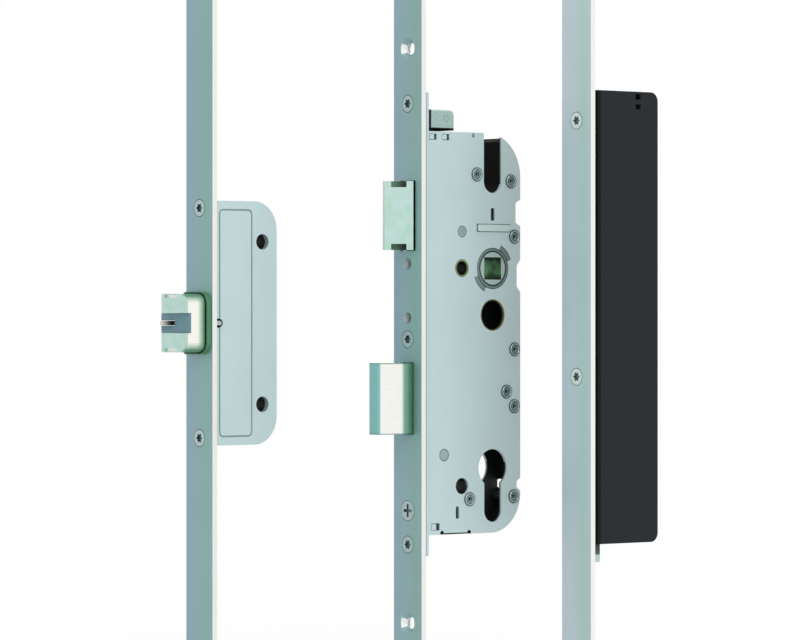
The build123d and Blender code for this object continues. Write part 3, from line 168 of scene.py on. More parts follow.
class ShaderTree:
    """The shader nodes of a material or of the world."""

    def __init__(self, tree):
        self.tree = tree

    def node(self, kind, settings, values):
        """Adds a node and returns its outputs as threads."""
        made = self.tree.nodes.new(kind)
        for key, value in settings.items():
            setattr(made, key, value)
        for key, value in values.items():
            if isinstance(value, Thread):
                self.tree.links.new(value.socket, made.inputs[key])
            else:
                made.inputs[key].default_value = value
        return [Thread(self, socket) for socket in made.outputs if socket.enabled]

    def seen(self):
        """1 where the camera, a reflection or a view through looks, else 0."""
        rays = self.node("ShaderNodeLightPath", {}, {})
        camera_ray, glossy_ray, through_ray = rays[0], rays[3], rays[6]
        return camera_ray.larger(glossy_ray).larger(through_ray)


class Finish(ShaderTree):
    """A material with one Principled shader."""

    def __init__(self, name):
        self.material = bpy.data.materials.new(name)
        self.material.use_nodes = True
        super().__init__(self.material.node_tree)
        self.shader = self.tree.nodes["Principled BSDF"]

    def put(self, key, value):
        """Sets or links one socket of the shader."""
        if isinstance(value, Thread):
            self.tree.links.new(value.socket, self.shader.inputs[key])
        else:
            self.shader.inputs[key].default_value = value

    def place(self):
        """The object's own coordinates, as X, Y and Z threads."""
        spot = self.node("ShaderNodeTexCoord", {}, {})[3]
        return self.node("ShaderNodeSeparateXYZ", {}, {"Vector": spot})

    def facing(self):
        """The surface's direction, as X, Y and Z threads."""
        spot = self.node("ShaderNodeTexCoord", {}, {})[1]
        return self.node("ShaderNodeSeparateXYZ", {}, {"Vector": spot})

    def noise(self, size, stretch=(1, 1, 1), detail=3.0):
        """Noise with marks about this large, drawn out along the stretched axes."""
        spot = self.node("ShaderNodeTexCoord", {}, {})[3]
        scale = [1 / (size * part) for part in stretch]
        values = {"Vector": spot, "Scale": scale}
        drawn = self.node("ShaderNodeMapping", {}, values)[0]
        values = {"Vector": drawn, "Scale": 1.0, "Detail": detail}
        return self.node("ShaderNodeTexNoise", {}, values)[0]

    def blend(self, mask, first, second):
        """The first colour where the mask is 0 and the second where it is 1."""
        values = {0: mask, 6: first, 7: second}
        return self.node("ShaderNodeMix", {"data_type": "RGBA"}, values)[0]

    def shaded(self, mask, colour, level):
        """The colour, darkened to this level of itself where the mask is 1."""
        settings = {"data_type": "RGBA", "blend_type": "MULTIPLY"}
        values = {0: mask, 6: colour, 7: (level, level, level, 1.0)}
        return self.node("ShaderNodeMix", settings, values)[0]

    def relief(self, height, depth, strength):
        """Raises and lowers the surface's shading by this height."""
        values = {"Height": height, "Distance": depth, "Strength": strength}
        self.put("Normal", self.node("ShaderNodeBump", {}, values)[0])


def dress(finish, *names):
    """Gives a finish to these solids."""
    for name in names:
        for slot in nodes[name].material_slots:
            slot.material = finish.material
    print(finish.material.name, "on", len(names))


# %% [markdown]
# Satin sheet metal is the main finish here. Rolling and brushing leave long fine lines,
# so one noise is drawn out along the strip. It moves the roughness and the shading, and a
# second, broad noise shifts the colour a little so that no face is one flat tone. The cut
# edges of a strip are brighter than its face, partly as bare cut metal and partly as a
# painted highlight, which a mask on the surface's direction gives. A forend also has a
# painted sheen: a soft stripe of a second tone, where plating would reflect daylight. An
# image texture would do too, but lines made by nodes stay sharp at any distance.

# %% Satin steel
along_z = (1, 1, 60)
brush_size = 0.35 * mm
brush_depth = 0.02 * mm
sheet_cloud_size = 30 * mm
sheen_off = 3.5 * mm
sheen_half = 6.5 * mm
sheen_waver = 3 * mm
sideways = 0.6


def satin(name, face, edge, rough=0.38, shine=0.75, sheen=None, middle=0.0):
    """Brushed sheet metal with a face tone, a cut-edge tone that is partly a painted
    highlight, and any painted sheen.
    """
    made = Finish(name)
    lines = made.noise(brush_size, along_z, 4.0)
    cloud = made.noise(sheet_cloud_size, (1, 1, 1), 2.0)
    body = tone(*face)
    # The sheen is a painted reflection: a stripe of a second tone where plating would
    # reflect daylight.
    if sheen:
        across = made.place()[1]
        off = abs(across - (middle - sheen_off) + cloud * sheen_waver)
        body = made.blend(1 - off.ramp(0.0, sheen_half), body, tone(*sheen))
    side = abs(made.facing()[1])
    shade = (cloud.ramp(0.35, 0.7) * 0.3) + (lines.ramp(0.3, 0.75) * 0.25)
    body = made.shaded(shade, body, 0.9)
    # Cut edges take a brighter tone, partly bare cut metal and partly a painted highlight.
    made.put("Base Color", made.blend(side.above(sideways), body, tone(*edge)))
    made.put("Metallic", shine)
    made.put("Roughness", lines * 0.12 + rough)
    made.relief(lines, brush_depth, 0.2)
    return made


cut_edge_highlight = (240, 241, 236)
forend_tones = {"main": ((146, 176, 182), (140, 179, 169)),
                "point": ((140, 171, 178), (134, 175, 166)),
                "motor": ((198, 214, 220), (186, 214, 206))}
for length, (face, sheen) in forend_tones.items():
    middle = at(length, 0, 0, 0).y
    steel = satin(length + "_forend_steel", face, cut_edge_highlight, 0.34, 0.5, sheen, middle)
    dress(steel, length + "_forend")
drive_steel = satin("drive_steel", (150, 164, 165), (196, 206, 206))
dress(drive_steel, "upper_drive_strip", "lower_drive_strip", "motor_strip")
dress(drive_steel, "point_slide", "point_upper_strip", "point_lower_strip")
dress(satin("oiled_steel", (34, 40, 39), (120, 130, 130), 0.5, 0.4), "drive_slide")

# %% [markdown]
# The cases are folded from plated sheet, which is paler and finer than the forends, with
# a faint grain in no one direction. Inside, the sheet is dull and painted nearly black as
# shade, so that holes look dark. A surface belongs to the inside where it faces the middle
# of its case. One sum tells that: the way from the middle to the surface, times the way it
# faces, is below zero there. The cut wall of an opening stays pale, and a shallow groove is
# painted darker than the face it is cut in, as shade. Both are told apart by their depth
# under the outer face.

# %% Plated sheet
plate_tone = tone(200, 220, 221)
wall_tone = tone(172, 193, 194)
groove_shade_tone = tone(142, 168, 164)
inside_shade_tone = tone(22, 28, 27)
plate_speck_size = 0.6 * mm
plate_cloud_size = 18 * mm
plate_depth = 0.02 * mm
groove_depths = (0.1 * mm, 0.6 * mm)
inside_depth = 0.8 * mm
inside_away = -1.5 * mm


def plated(name, middle, half):
    """Zinc plated sheet round this middle: pale outside, dull and painted dark as shade
    inside.
    """
    made = Finish(name)
    speck = made.noise(plate_speck_size, (1, 1, 1), 5.0)
    cloud = made.noise(plate_cloud_size, (1, 1, 1.6), 2.0)
    facing = made.facing()
    flat = abs(facing[1]).above(sideways)
    body = made.blend(flat, wall_tone, plate_tone)
    shade = (cloud.ramp(0.4, 0.72) * 0.3) + (speck.ramp(0.4, 0.8) * 0.25)
    body = made.shaded(shade, body, 0.88)
    away = 0
    places = made.place()
    for spot, centre, way in zip(places, middle, facing):
        away = (spot - centre) * way + away
    depth = half - abs(places[1] - middle.y)
    # A shallow groove is painted darker than its face: painted shade.
    sunk = depth.above(groove_depths[0]) * (1 - depth.above(groove_depths[1])) * flat
    body = made.blend(sunk, body, groove_shade_tone)
    # Inner faces are painted nearly black: painted shade, so that holes look dark.
    inside = (1 - away.above(inside_away)) * depth.above(inside_depth)
    made.body = made.blend(inside, body, inside_shade_tone)
    made.put("Base Color", made.body)
    made.put("Metallic", (1 - inside) * 0.35)
    made.put("Roughness", speck * 0.14 + 0.42)
    made.relief(speck, plate_depth, 0.3)
    return made


case_middle = at("main", 31, 0, 1.2)
case_half = 7.5 * mm
box_middle = at("point", 17.6, 0, 5.8)
box_half = 9.2 * mm
case_steel = plated("case_steel", case_middle, case_half)
box_steel = plated("box_steel", box_middle, box_half)
dress(case_steel, "case_tray", "case_cover")
dress(box_steel, "box_tray", "box_cover")

# %% [markdown]
# Turned parts, such as pins, bushes and screw heads, carry fine rings from the lathe. They
# are too small to see as rings here, so a fine even grain and a low roughness stand for
# them. Cast parts are duller, with a soft pebbled skin.

# %% Turned and cast metal


def plain_metal(name, colour, rough, size, depth, shine=0.85):
    """A metal of one colour, with a grain of this size and depth in millimetres."""
    made = Finish(name)
    grain = made.noise(size * mm, (1, 1, 1), 4.0)
    deep = [value * 0.8 for value in tone(*colour)[:3]] + [1.0]
    made.put("Base Color", made.blend(grain.ramp(0.35, 0.8) * 0.5, tone(*colour), deep))
    made.put("Metallic", shine)
    made.put("Roughness", grain * 0.15 + rough)
    made.relief(grain, depth * mm, 0.35)
    return made


turned_steel = plain_metal("turned_steel", (186, 202, 202), 0.26, 0.6, 0.01)
dark_steel = plain_metal("dark_steel", (12, 14, 12), 0.7, 0.8, 0.02, 0.0)
dark_steel.put("Specular IOR Level", 0.1)
spring_steel = plain_metal("spring_steel", (140, 146, 148), 0.25, 0.4, 0.01)
motor_steel = plain_metal("motor_steel", (152, 158, 160), 0.3, 0.9, 0.02)
nut_brass = plain_metal("nut_brass", (190, 156, 92), 0.3, 0.7, 0.02)
dress(turned_steel, "main_sleeves", "point_sleeves", "motor_sleeves", "lid_pins")
dress(turned_steel, "key_gear", "key_gear_axle", "dead_bolt_pin", "box_dowel")
dress(turned_steel, "bolt_cam_pin", "lead_screw")
dress(dark_steel, "slot_liner")
dress(spring_steel, "latch_spring", "follower_spring", "trigger_spring", "auto_bolt_spring")
dress(motor_steel, "motor", "gearbox")
dress(nut_brass, "screw_nut")

# %% [markdown]
# Where two round pieces meet there is a fine dark seam of oil and shadow: round each screw
# head, round each rivet, and on both sides of the follower's rings. The distance from an
# axis makes such a seam, with the square root of two squares. Several screws share one
# mask, because the nearest of their heights is the smallest of the distances. A screw's
# recess lies deeper than its face, so its depth along X tells where it is.

# %% Seams round screws, rings and rivets
recess_x = -2.3
long_screw_z = -79.8
screw_grain = 0.5
ring_grain = 0.6


def distance_from(across, up):
    """How far a surface lies from an axis, from its two offsets."""
    return (across * across + up * up).root()


def seamed_screws(name, length, heights, head, pale=(184, 204, 204), shine=0.85):
    """Screw steel with a dark seam round each head, at these heights on a length."""
    made = plain_metal(name, pale, 0.28, screw_grain, 0.01, shine)
    x, y, z = made.place()
    nearest = abs(z - heights[0] * mm)
    for height in heights[1:]:
        nearest = nearest.smaller(abs(z - height * mm))
    off = distance_from(y - at(length, 0, 0, 0).y, nearest)
    grain = made.noise(screw_grain * mm)
    face = made.blend(grain, tone(*pale), tone(*[value * 0.89 for value in pale]))
    # The recess is painted a darker green: painted shade inside it.
    deep = x.above(at(length, recess_x, 0, 0).x)
    face = made.blend(deep, face, tone(104, 134, 128))
    made.put("Base Color", made.blend(off.above(head * mm), face, tone(30, 50, 46)))
    return made


def ringed(name, axes, face, seams):
    """Plated steel with dark seams between these radii, round axes along Y."""
    made = plain_metal(name, face, 0.34, ring_grain, 0.02)
    x, y, z = made.place()
    off = distance_from(x - axes[0].x, z - axes[0].z)
    for axis in axes[1:]:
        off = off.smaller(distance_from(x - axis.x, z - axis.z))
    dark = 0
    for low, high in seams:
        dark = off.above(low * mm) * (1 - off.above(high * mm)) + dark
    grain = made.noise(ring_grain * mm)
    body = made.blend(grain, tone(*face), tone(*[value * 0.9 for value in face]))
    made.put("Base Color", made.blend(dark, body, tone(60, 82, 77)))
    return made


# %% [markdown]
# Countersunk screws with a star recess hold each forend, and one long screw with a cross
# holds the lock's cylinder. All are zinc plated, and the motor length's are the palest. A
# screw's seam needs only its height, because every screw sits in the strip's middle.

# %% Screws
head_radius = 3.78
long_head_radius = 4.55
head_heights = {"main": (105.9, -1.6, -95.3), "point": (58.3, -46.7), "motor": (98.2, -18.7)}
for length, heights in head_heights.items():
    zinc = ((226, 244, 236), 0.4) if length == "motor" else ((184, 204, 204), 0.85)
    steel = seamed_screws(length + "_screw_steel", length, heights, head_radius, *zinc)
    dress(steel, length + "_star_screws")
screw_steel = seamed_screws("long_screw_steel", "main", (long_screw_z,), long_head_radius)
dress(screw_steel, "cylinder_screw")

# %% [markdown]
# The case is closed by hollow rivets, and two flush pins end in its cover. Only the radii
# of their seams differ, so one helper dresses them all, and the follower's rings too.

# %% Rings, rivets and pins
spindle_axis = at("main", 42.5, 0, 31)
ring_seams = [(7.5, 8.25), (9.2, 9.6), (11.5, 12.0)]
dress(ringed("ring_steel", [spindle_axis], (168, 190, 190), ring_seams), "follower_rings")
rivet_spots = [(32.8, 74.2), (53.6, 71.5), (55.8, 45.8), (55.9, -6.4), (50.9, -25.9),
               (55.6, -32.7), (55.4, -74.5), (28.4, -75.1)]
rivet_axes = [at("main", x, 0, z) for x, z in rivet_spots]
rivet_seams = [(0, 1.1), (1.75, 2.1), (2.95, 3.3)]
dress(ringed("rivet_steel", rivet_axes, (184, 206, 204), rivet_seams), "case_rivets")
pin_axes = [at("main", 23.9, 0, 47.8), at("main", 13.0, 0, -54.6)]
pin_seams = [(2.45, 2.65)]
dress(ringed("pin_steel", pin_axes, (184, 204, 204), pin_seams), "guide_pins")

# %% [markdown]
# The near cover of the case carries two marks: a pressed bar above the follower, with a
# painted dark outline as shade round it and painted light on its raised face, and a thin
# yellow rim round the hole below it. Painted shade makes the notch at the bottom dark
# behind. All three only add a mask to the sheet's colour. The bar stands proud of the
# sheet, so its face is found by its depth.

# %% Marks on the case's cover
bar_place = at("main", 43, 0, 49.65)
bar_half = (10.2 * mm, 1.9 * mm)
sight_hole = at("main", 42.5, 0, 9.5)
sight_rim = 7.3 * mm
notch_place = at("main", 20, 0, -91)
notch_half = 9.6 * mm
notch_tall = 2.2 * mm
near_depth = 6.5 * mm
notch_depth = 7.2 * mm
raised_depth = 7.8 * mm


def mark_cover(made):
    """Adds the pressed bar with its painted shade and light, the sight hole's rim and the
    notch's painted shade to the case's sheet.
    """
    x, y, z = made.place()
    outline = 1 - abs(x - bar_place.x).above(bar_half[0])
    outline = outline * (1 - abs(z - bar_place.z).above(bar_half[1]))
    near = (-1 * y).above(near_depth)
    raised = (-1 * y).above(raised_depth)
    # Painted shade outlines the pressed bar, and painted light brightens its raised face.
    body = made.blend(outline * near, made.body, tone(92, 118, 112))
    body = made.blend(raised, body, tone(206, 224, 220))
    rim = 1 - distance_from(x - sight_hole.x, z - sight_hole.z).above(sight_rim)
    body = made.blend(rim * near, body, tone(122, 122, 74))
    # Painted shade fills the inside behind the notch at the bottom.
    notch = 1 - abs(x - notch_place.x).above(notch_half)
    notch = notch * (1 - (z - notch_place.z).above(notch_tall))
    behind = (notch_depth - abs(y)).above(0)
    made.put("Base Color", made.blend(notch * behind, body, tone(16, 22, 20)))


mark_cover(case_steel)
print("marks on", case_steel.material.name)

# %% [markdown]
# The block on top of the case is cast, with a soft pebbled skin. Its rounded edges catch
# more light than its face, and a band of shadow lies along the strip that it hangs on.

# %% The cast block
dimple = at("main", 14.2, 0, 99.4)
dimple_radii = (1.2 * mm, 1.7 * mm)
pebble_size = 1.1
block_shadow_x = 5.3 * mm
block_shadow_z = 95.1 * mm


def cast_block():
    """Cast zinc with pale rounded edges, dark beside the strip and underneath."""
    made = plain_metal("cast_zinc", (162, 189, 185), 0.42, pebble_size, 0.04, 0.4)
    x, y, z = made.place()
    grain = made.noise(pebble_size * mm, (1, 1, 1), 4.0)
    face = made.blend(grain.ramp(0.35, 0.8), tone(172, 198, 194), tone(156, 182, 178))
    flat = abs(made.facing()[1]).ramp(0.8, 0.98)
    body = made.blend(flat, tone(202, 222, 217), face)
    off = distance_from(x - dimple.x, z - dimple.z)
    ring = off.above(dimple_radii[0]) * (1 - off.above(dimple_radii[1]))
    body = made.shaded(ring, body, 0.8)
    dark = (1 - x.above(block_shadow_x)).larger(1 - z.above(block_shadow_z))
    made.put("Base Color", made.blend(dark, body, tone(26, 40, 36)))
    return made


dress(cast_block(), "drive_carriage")

# %% [markdown]
# The follower is cast too, but the inside of its square hole is painted dark, as shade. The
# hole's place is known, so a mask on the object's own coordinates finds its four walls:
# inside a square a hair wider than the hole, measured from the spindle's axis. The walls
# are green in patches and painted darkest above and below as shade, which a noise and a
# run of colour give.

# %% The follower with its dark square hole
square_half = 5.16 * mm
square_shade = (2.2 * mm, 5 * mm)
patch_size = 3.5 * mm
journal_radius = 7.5 * mm
hub_grain = 1


def follower_zinc():
    """Cast zinc with painted dark green shade inside the spindle's square hole."""
    made = plain_metal("follower_zinc", (192, 212, 205), 0.4, hub_grain, 0.03, 0.6)
    x, y, z = made.place()
    off_x = abs(x - spindle_axis.x)
    off_z = abs(z - spindle_axis.z)
    inside = (1 - off_x.above(square_half)) * (1 - off_z.above(square_half))
    grain = made.noise(hub_grain * mm)
    patch = made.noise(patch_size).ramp(0.35, 0.65)
    green = made.blend(patch, tone(34, 84, 40), tone(104, 156, 108))
    # Painted shade inside the hole, darkest above and below.
    dark = made.blend(off_z.ramp(*square_shade), green, tone(14, 28, 16))
    rim = distance_from(off_x, off_z).above(journal_radius)
    face = made.blend(grain, tone(200, 220, 213), tone(182, 204, 198))
    face = made.blend(rim, face, tone(60, 76, 72))
    made.put("Base Color", made.blend(inside, face, dark))
    return made


dress(follower_zinc(), "follower_hub")

# %% [markdown]
# The case's bushes for handle screws are yellow plated and the box's bushes are zinc
# plated. Both have their bore painted black, as shade. Their end faces look along Y, so
# that one component of the surface's direction tells face and bore apart.

# %% Bushes with a dark bore
case_bush_lip = 7.1
box_bush_lip = 6.6
bore_speck_size = 0.8 * mm


def bush_with_shaded_bore(name, face, centre_y, lip):
    """A plated bush whose bore is painted black as shade, but for a lip of its own colour
    beyond this depth.
    """
    made = plain_metal(name, face, 0.4, 0.6, 0.02)
    grain = made.noise(bore_speck_size)
    # The bore is painted near black: painted shade inside the hole.
    bore = made.blend(grain, tone(8, 9, 8), tone(18, 17, 13))
    depth = abs(made.place()[1] - centre_y)
    end = abs(made.facing()[1]).above(0.5).larger(depth.above(lip * mm))
    made.put("Base Color", made.blend(end, bore, tone(*face)))
    made.put("Metallic", end * 0.5)
    return made


point_y = at("point", 0, 0, 0).y
dress(bush_with_shaded_bore("bush_yellow", (132, 142, 104), 0, case_bush_lip), "handle_bushes")
dress(bush_with_shaded_bore("bush_zinc", (176, 198, 194), point_y, box_bush_lip), "box_bushes")

# %% [markdown]
# The bolts are nickel plated and bright. Their colours are painted light and reflection: a
# pale end told apart by the way it faces, cream flanks, and a painted green reflection
# that deepens towards the forend they slide through. Plating this smooth has little grain,
# so the finish is a soft run of colour along X, a mask for the end, and fine wiping marks
# along the way it slides.

# %% Bright nickel
along_x = (30, 1, 1)
wipe_size = 0.6 * mm
wipe_depth = 0.006 * mm
wipe_waver = 0.1 * mm


def nickel(name, pale, deep, start, stop):
    """Plating painted from pale to deep along X, as light and reflection, between two places
    in metres.
    """
    made = Finish(name)
    made.wipes = made.noise(wipe_size, along_x, 3.0)
    made.along = made.place()[0] + made.wipes * wipe_waver
    made.flank = made.blend(made.along.ramp(start, stop), tone(*pale), tone(*deep))
    made.front = -1 * made.facing()[0]
    made.put("Base Color", made.flank)
    made.put("Metallic", 0.5)
    made.put("Roughness", made.wipes * 0.08 + 0.24)
    made.relief(made.wipes, wipe_depth, 0.05)
    return made


print("wiping marks move a run of colour by up to", wipe_waver, "m")

# %% [markdown]
# The deadbolt is a plain bar with an eased nose. Its long edges are eased on the real one
# too, and a soft green shade along its top and bottom stands for that here.

# %% The deadbolt's nickel
deadbolt_run = (-9.4 * mm, -7.8 * mm)
deadbolt_foot = (-6.2 * mm, -3.4 * mm)
deadbolt_edge = 0.7 * mm


def deadbolt_nickel():
    """Cream flanks with a painted green reflection towards the forend, a teal end painted by
    the way it faces, and painted shade along the top and bottom.
    """
    made = nickel("deadbolt_nickel", (246, 245, 238), (132, 178, 160), *deadbolt_run)
    # Towards its foot the flank turns a darker green: a painted reflection of the forend.
    flank = made.blend(made.along.ramp(*deadbolt_foot), made.flank, tone(74, 124, 92))
    # The end face gets its own teal, painted by the way it faces, as light shows it.
    end = made.blend(made.wipes.ramp(0.3, 0.7), tone(146, 200, 197), tone(132, 186, 186))
    body = made.blend(made.front.above(0.45), flank, end)
    # Painted shade along the top and bottom, for the eased long edges.
    low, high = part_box("dead_bolt")
    half = (high.z - low.z) / 2
    rim = abs(made.place()[2] - (low.z + high.z) / 2).ramp(half - deadbolt_edge, half)
    made.put("Base Color", made.blend(rim, body, tone(70, 128, 112)))
    return made


dress(deadbolt_nickel(), "dead_bolt")

# %% [markdown]
# The latch has a bevel with a bright ground plate on it. The plate leaves two pockets open
# at its ends, and their floors are dull and green, painted darker towards the forend as
# shade. They face the way the bevel does, which tells them from the tip and the flanks.
# The latch's foot at the forend is painted black, as shadow. The same ground plate ends
# the sprung bolt.

# %% The latch's nickel and its ground plate
latch_foot = (-3.6 * mm, -3.4 * mm)
pocket_run = (-10.5 * mm, -4.5 * mm)
grind_size = 0.5 * mm
grind_cloud_size = 6 * mm
grind_depth = 0.02 * mm


def latch_nickel():
    """Pale, with green pockets in its bevel that darken into painted shade, and a black
    painted shadow at its foot by the forend.
    """
    # The black at its foot is painted shadow where it meets the forend.
    made = nickel("latch_nickel", (212, 228, 220), (10, 24, 15), *latch_foot)
    slope = made.front.above(0.2) * (1 - made.front.above(0.95))
    # The pocket floors darken towards the forend: painted shade.
    green = made.blend(made.along.ramp(*pocket_run), tone(112, 156, 126), tone(6, 34, 8))
    made.put("Base Color", made.blend(slope, made.flank, green))
    made.put("Metallic", (1 - slope) * 0.5)
    made.put("Roughness", slope * 0.3 + 0.26)
    return made


def ground_face():
    """A bright ground plate, faintly green, with marks from grinding."""
    made = Finish("face_steel")
    marks = made.noise(grind_size, (1, 1, 6), 4.0)
    cloud = made.noise(grind_cloud_size, (1, 1, 1), 2.0)
    tint = made.blend(cloud.ramp(0.3, 0.7), tone(194, 219, 215), tone(178, 214, 199))
    made.put("Base Color", made.shaded(marks.ramp(0.4, 0.8) * 0.4, tint, 0.85))
    made.put("Metallic", 0.5)
    made.put("Roughness", marks * 0.14 + 0.26)
    made.relief(marks, grind_depth, 0.2)
    return made


dress(latch_nickel(), "latch_bolt")
dress(ground_face(), "latch_face", "bolt_end_plate")

# %% [markdown]
# The sprung bolt of the locking point is rounded on all its edges, so the way its surface
# tilts is enough to paint its light and shade: cream where it stands upright, green where
# it turns over, and a painted green reflection at its foot. The steel tongue in its end has
# a painted highlight on the far side of its tip and painted shade on the near one.

# %% The sprung bolt's nickel and its tongue
bolt_foot = (-9.5, -6.2)
tongue_run = (1 * mm, 7.5 * mm)


def auto_bolt_nickel():
    """Painted light: cream in the middle of its flank, green round its edges, and a painted
    green reflection at its foot.
    """
    foot = [at("point", x, 0, 0).x for x in bolt_foot]
    # Its foot deepens to green: a painted reflection of the forend.
    made = nickel("auto_bolt_nickel", (250, 248, 240), (92, 150, 112), *foot)
    tilt = abs(made.facing()[2])
    # Painted light and shade by tilt: green where the surface turns over.
    green = made.blend(tilt.ramp(0.6, 0.95), tone(150, 192, 162), tone(108, 160, 124))
    made.put("Base Color", made.blend(tilt.ramp(0.12, 0.75), made.flank, green))
    return made


def tongue_steel():
    """A painted highlight at the far edge of its tip and painted shade at the near one."""
    made = plain_metal("tongue_steel", (176, 190, 190), 0.22, 0.6, 0.01)
    across = made.place()[1] - point_y
    # Painted shade on the near side of the tip, painted highlight on the far side.
    pale = made.blend(across.ramp(*tongue_run), tone(30, 30, 24), tone(214, 218, 208))
    made.put("Base Color", pale)
    return made


dress(auto_bolt_nickel(), "auto_bolt")
dress(tongue_steel(), "trigger_tongue")

# %% [markdown]
# Moulded parts: the housing is black with a fine spark-eroded skin, and its front edge,
# where the moulding butts against the strip, is painted nearly black as shade. The seal is
# rubber, the collar and the insert are smooth and shiny. Each gets a fine bump, because
# even a glossy moulding never is a perfect mirror.

# %% Plastics and rubber
skin_size = 0.5 * mm
skin_depth = 0.03 * mm
housing_shade_band = at("motor", 4.4, 0, 0).x


def moulded(name, colour, rough):
    """Plastic with a fine even skin."""
    made = Finish(name)
    skin = made.noise(skin_size, (1, 1, 1), 3.0)
    deep = [value * 0.82 for value in tone(*colour)[:3]] + [1.0]
    made.put("Base Color", made.blend(skin.ramp(0.3, 0.75), tone(*colour), deep))
    made.put("Roughness", skin * 0.15 + rough)
    made.put("Specular IOR Level", 0.4)
    made.relief(skin, skin_depth, 0.4)
    return made


def housing_black():
    """The housing's black, with painted shade in the band that meets the forend."""
    made = moulded("housing_black", (24, 29, 33), 0.6)
    made.put("Specular IOR Level", 0.2)
    band = 1 - made.place()[0].above(housing_shade_band)
    skin = made.noise(skin_size)
    black = made.blend(skin.ramp(0.3, 0.75), tone(33, 38, 42), tone(25, 30, 34))
    # The band by the forend is painted nearly black: painted shade.
    made.put("Base Color", made.blend(band, black, tone(3, 6, 6)))
    return made


dress(housing_black(), "motor_housing", "motor_lid")
dress(moulded("collar_green", (82, 134, 98), 0.3), "bolt_collar")
dress(moulded("seal_rubber", (12, 13, 13), 0.6), "bolt_seal")
dress(moulded("insert_blue", (106, 143, 152), 0.28), "bolt_insert")
dress(moulded("board_green", (34, 96, 60), 0.35), "circuit_board")
dress(moulded("bearing_cream", (196, 194, 180), 0.45), "screw_bearing")
dress(moulded("selector_black", (16, 20, 20), 0.4), "selector_slider")

# %% [markdown]
# The foot under the motor's housing is a bent bar. It is painted darker where it leaves
# the housing, as shade, and painted bright below the bend, where light reaches it.

# %% The bent foot
foot_bend = (-100.4 * mm, -99.6 * mm)
foot_upper = (-100 * mm, -94 * mm)


def foot_metal():
    """Zinc with painted shade above the foot's bend and painted light below it."""
    made = plain_metal("foot_metal", (182, 205, 205), 0.36, 0.9, 0.02, 0.6)
    up = made.place()[2]
    # Painted shade above the bend, painted light below it.
    upper = made.blend(up.ramp(*foot_upper), tone(84, 102, 94), tone(40, 50, 46))
    made.put("Base Color", made.blend(up.ramp(*foot_bend), tone(186, 208, 208), upper))
    return made


dress(foot_metal(), "drive_foot")

# %% [markdown]
# Small forms of round wire repeat on this lock: the rolled rims of its rivets, the thread of
# the long screw and the coils of its springs. Geometry Nodes do this well: one tree sweeps
# a small circle along a line and puts the result on every point of a mesh. The line is one
# of Blender's own, a circle or a spiral, and its sizes become named inputs of the tree. The
# tree ends in Realize Instances and Set Material, so that plain mesh comes out.

# %% A tree that sets wire on points
wire_sides = 10


def wire_tree(name, line_kind, steps, line_sizes):
    """A Geometry Nodes tree: round wire along a line of this kind, once on every point.

    The line's sizes are the tree's inputs, each with the line's sockets that it sets."""
    tree = bpy.data.node_groups.new(name, "GeometryNodeTree")
    face = tree.interface
    face.new_socket("Points", in_out="INPUT", socket_type="NodeSocketGeometry")
    for size in (*line_sizes, "Wire radius"):
        face.new_socket(size, in_out="INPUT", socket_type="NodeSocketFloat")
    face.new_socket("Turn", in_out="INPUT", socket_type="NodeSocketVector")
    face.new_socket("Finish", in_out="INPUT", socket_type="NodeSocketMaterial")
    face.new_socket("Wires", in_out="OUTPUT", socket_type="NodeSocketGeometry")
    add = tree.nodes.new
    join = tree.links.new
    given = add("NodeGroupInput")
    line = add(line_kind)
    line.inputs["Resolution"].default_value = steps
    wire = add("GeometryNodeCurvePrimitiveCircle")
    wire.inputs["Resolution"].default_value = wire_sides
    tube = add("GeometryNodeCurveToMesh")
    tube.inputs["Fill Caps"].default_value = True
    smooth = add("GeometryNodeSetShadeSmooth")
    copies = add("GeometryNodeInstanceOnPoints")
    plain = add("GeometryNodeRealizeInstances")
    paint = add("GeometryNodeSetMaterial")
    result = add("NodeGroupOutput")
    for size, sockets in line_sizes.items():
        for socket in sockets:
            join(given.outputs[size], line.inputs[socket])
    join(given.outputs["Wire radius"], wire.inputs["Radius"])
    join(line.outputs["Curve"], tube.inputs["Curve"])
    join(wire.outputs["Curve"], tube.inputs["Profile Curve"])
    join(tube.outputs["Mesh"], smooth.inputs["Geometry"])
    join(given.outputs["Points"], copies.inputs["Points"])
    join(smooth.outputs["Geometry"], copies.inputs["Instance"])
    join(given.outputs["Turn"], copies.inputs["Rotation"])
    join(copies.outputs["Instances"], plain.inputs["Geometry"])
    join(plain.outputs["Geometry"], paint.inputs["Geometry"])
    join(given.outputs["Finish"], paint.inputs["Material"])
    join(paint.outputs["Geometry"], result.inputs["Wires"])
    print(name, "has", len(tree.nodes), "nodes")
    return tree


ring_steps = 40
coil_steps = 32
ring_kind = "GeometryNodeCurvePrimitiveCircle"
coil_kind = "GeometryNodeCurveSpiral"
ring_sizes = {"Ring radius": ["Radius"]}
coil_sizes = {"Turns": ["Rotations"], "Coil radius": ["Start Radius", "End Radius"],
              "Length": ["Height"]}
rings_on_points = wire_tree("rings_on_points", ring_kind, ring_steps, ring_sizes)
coils_on_points = wire_tree("coils_on_points", coil_kind, coil_steps, coil_sizes)

# %% [markdown]
# A tree only shows its result on an object with a modifier. The helper below sets the
# inputs by their identifiers, lets Blender work out the result once, and keeps that as a
# plain mesh at the origin, which is what the rest of the scene needs.

# %% From points to a finished piece


def plain_mesh(source, name):
    """The evaluated mesh of an object, as a new object at the origin."""
    graph = bpy.context.evaluated_depsgraph_get()
    mesh = bpy.data.meshes.new_from_object(source.evaluated_get(graph))
    piece = bpy.data.objects.new(name, mesh)
    bpy.context.collection.objects.link(piece)
    bpy.data.objects.remove(source)
    return piece


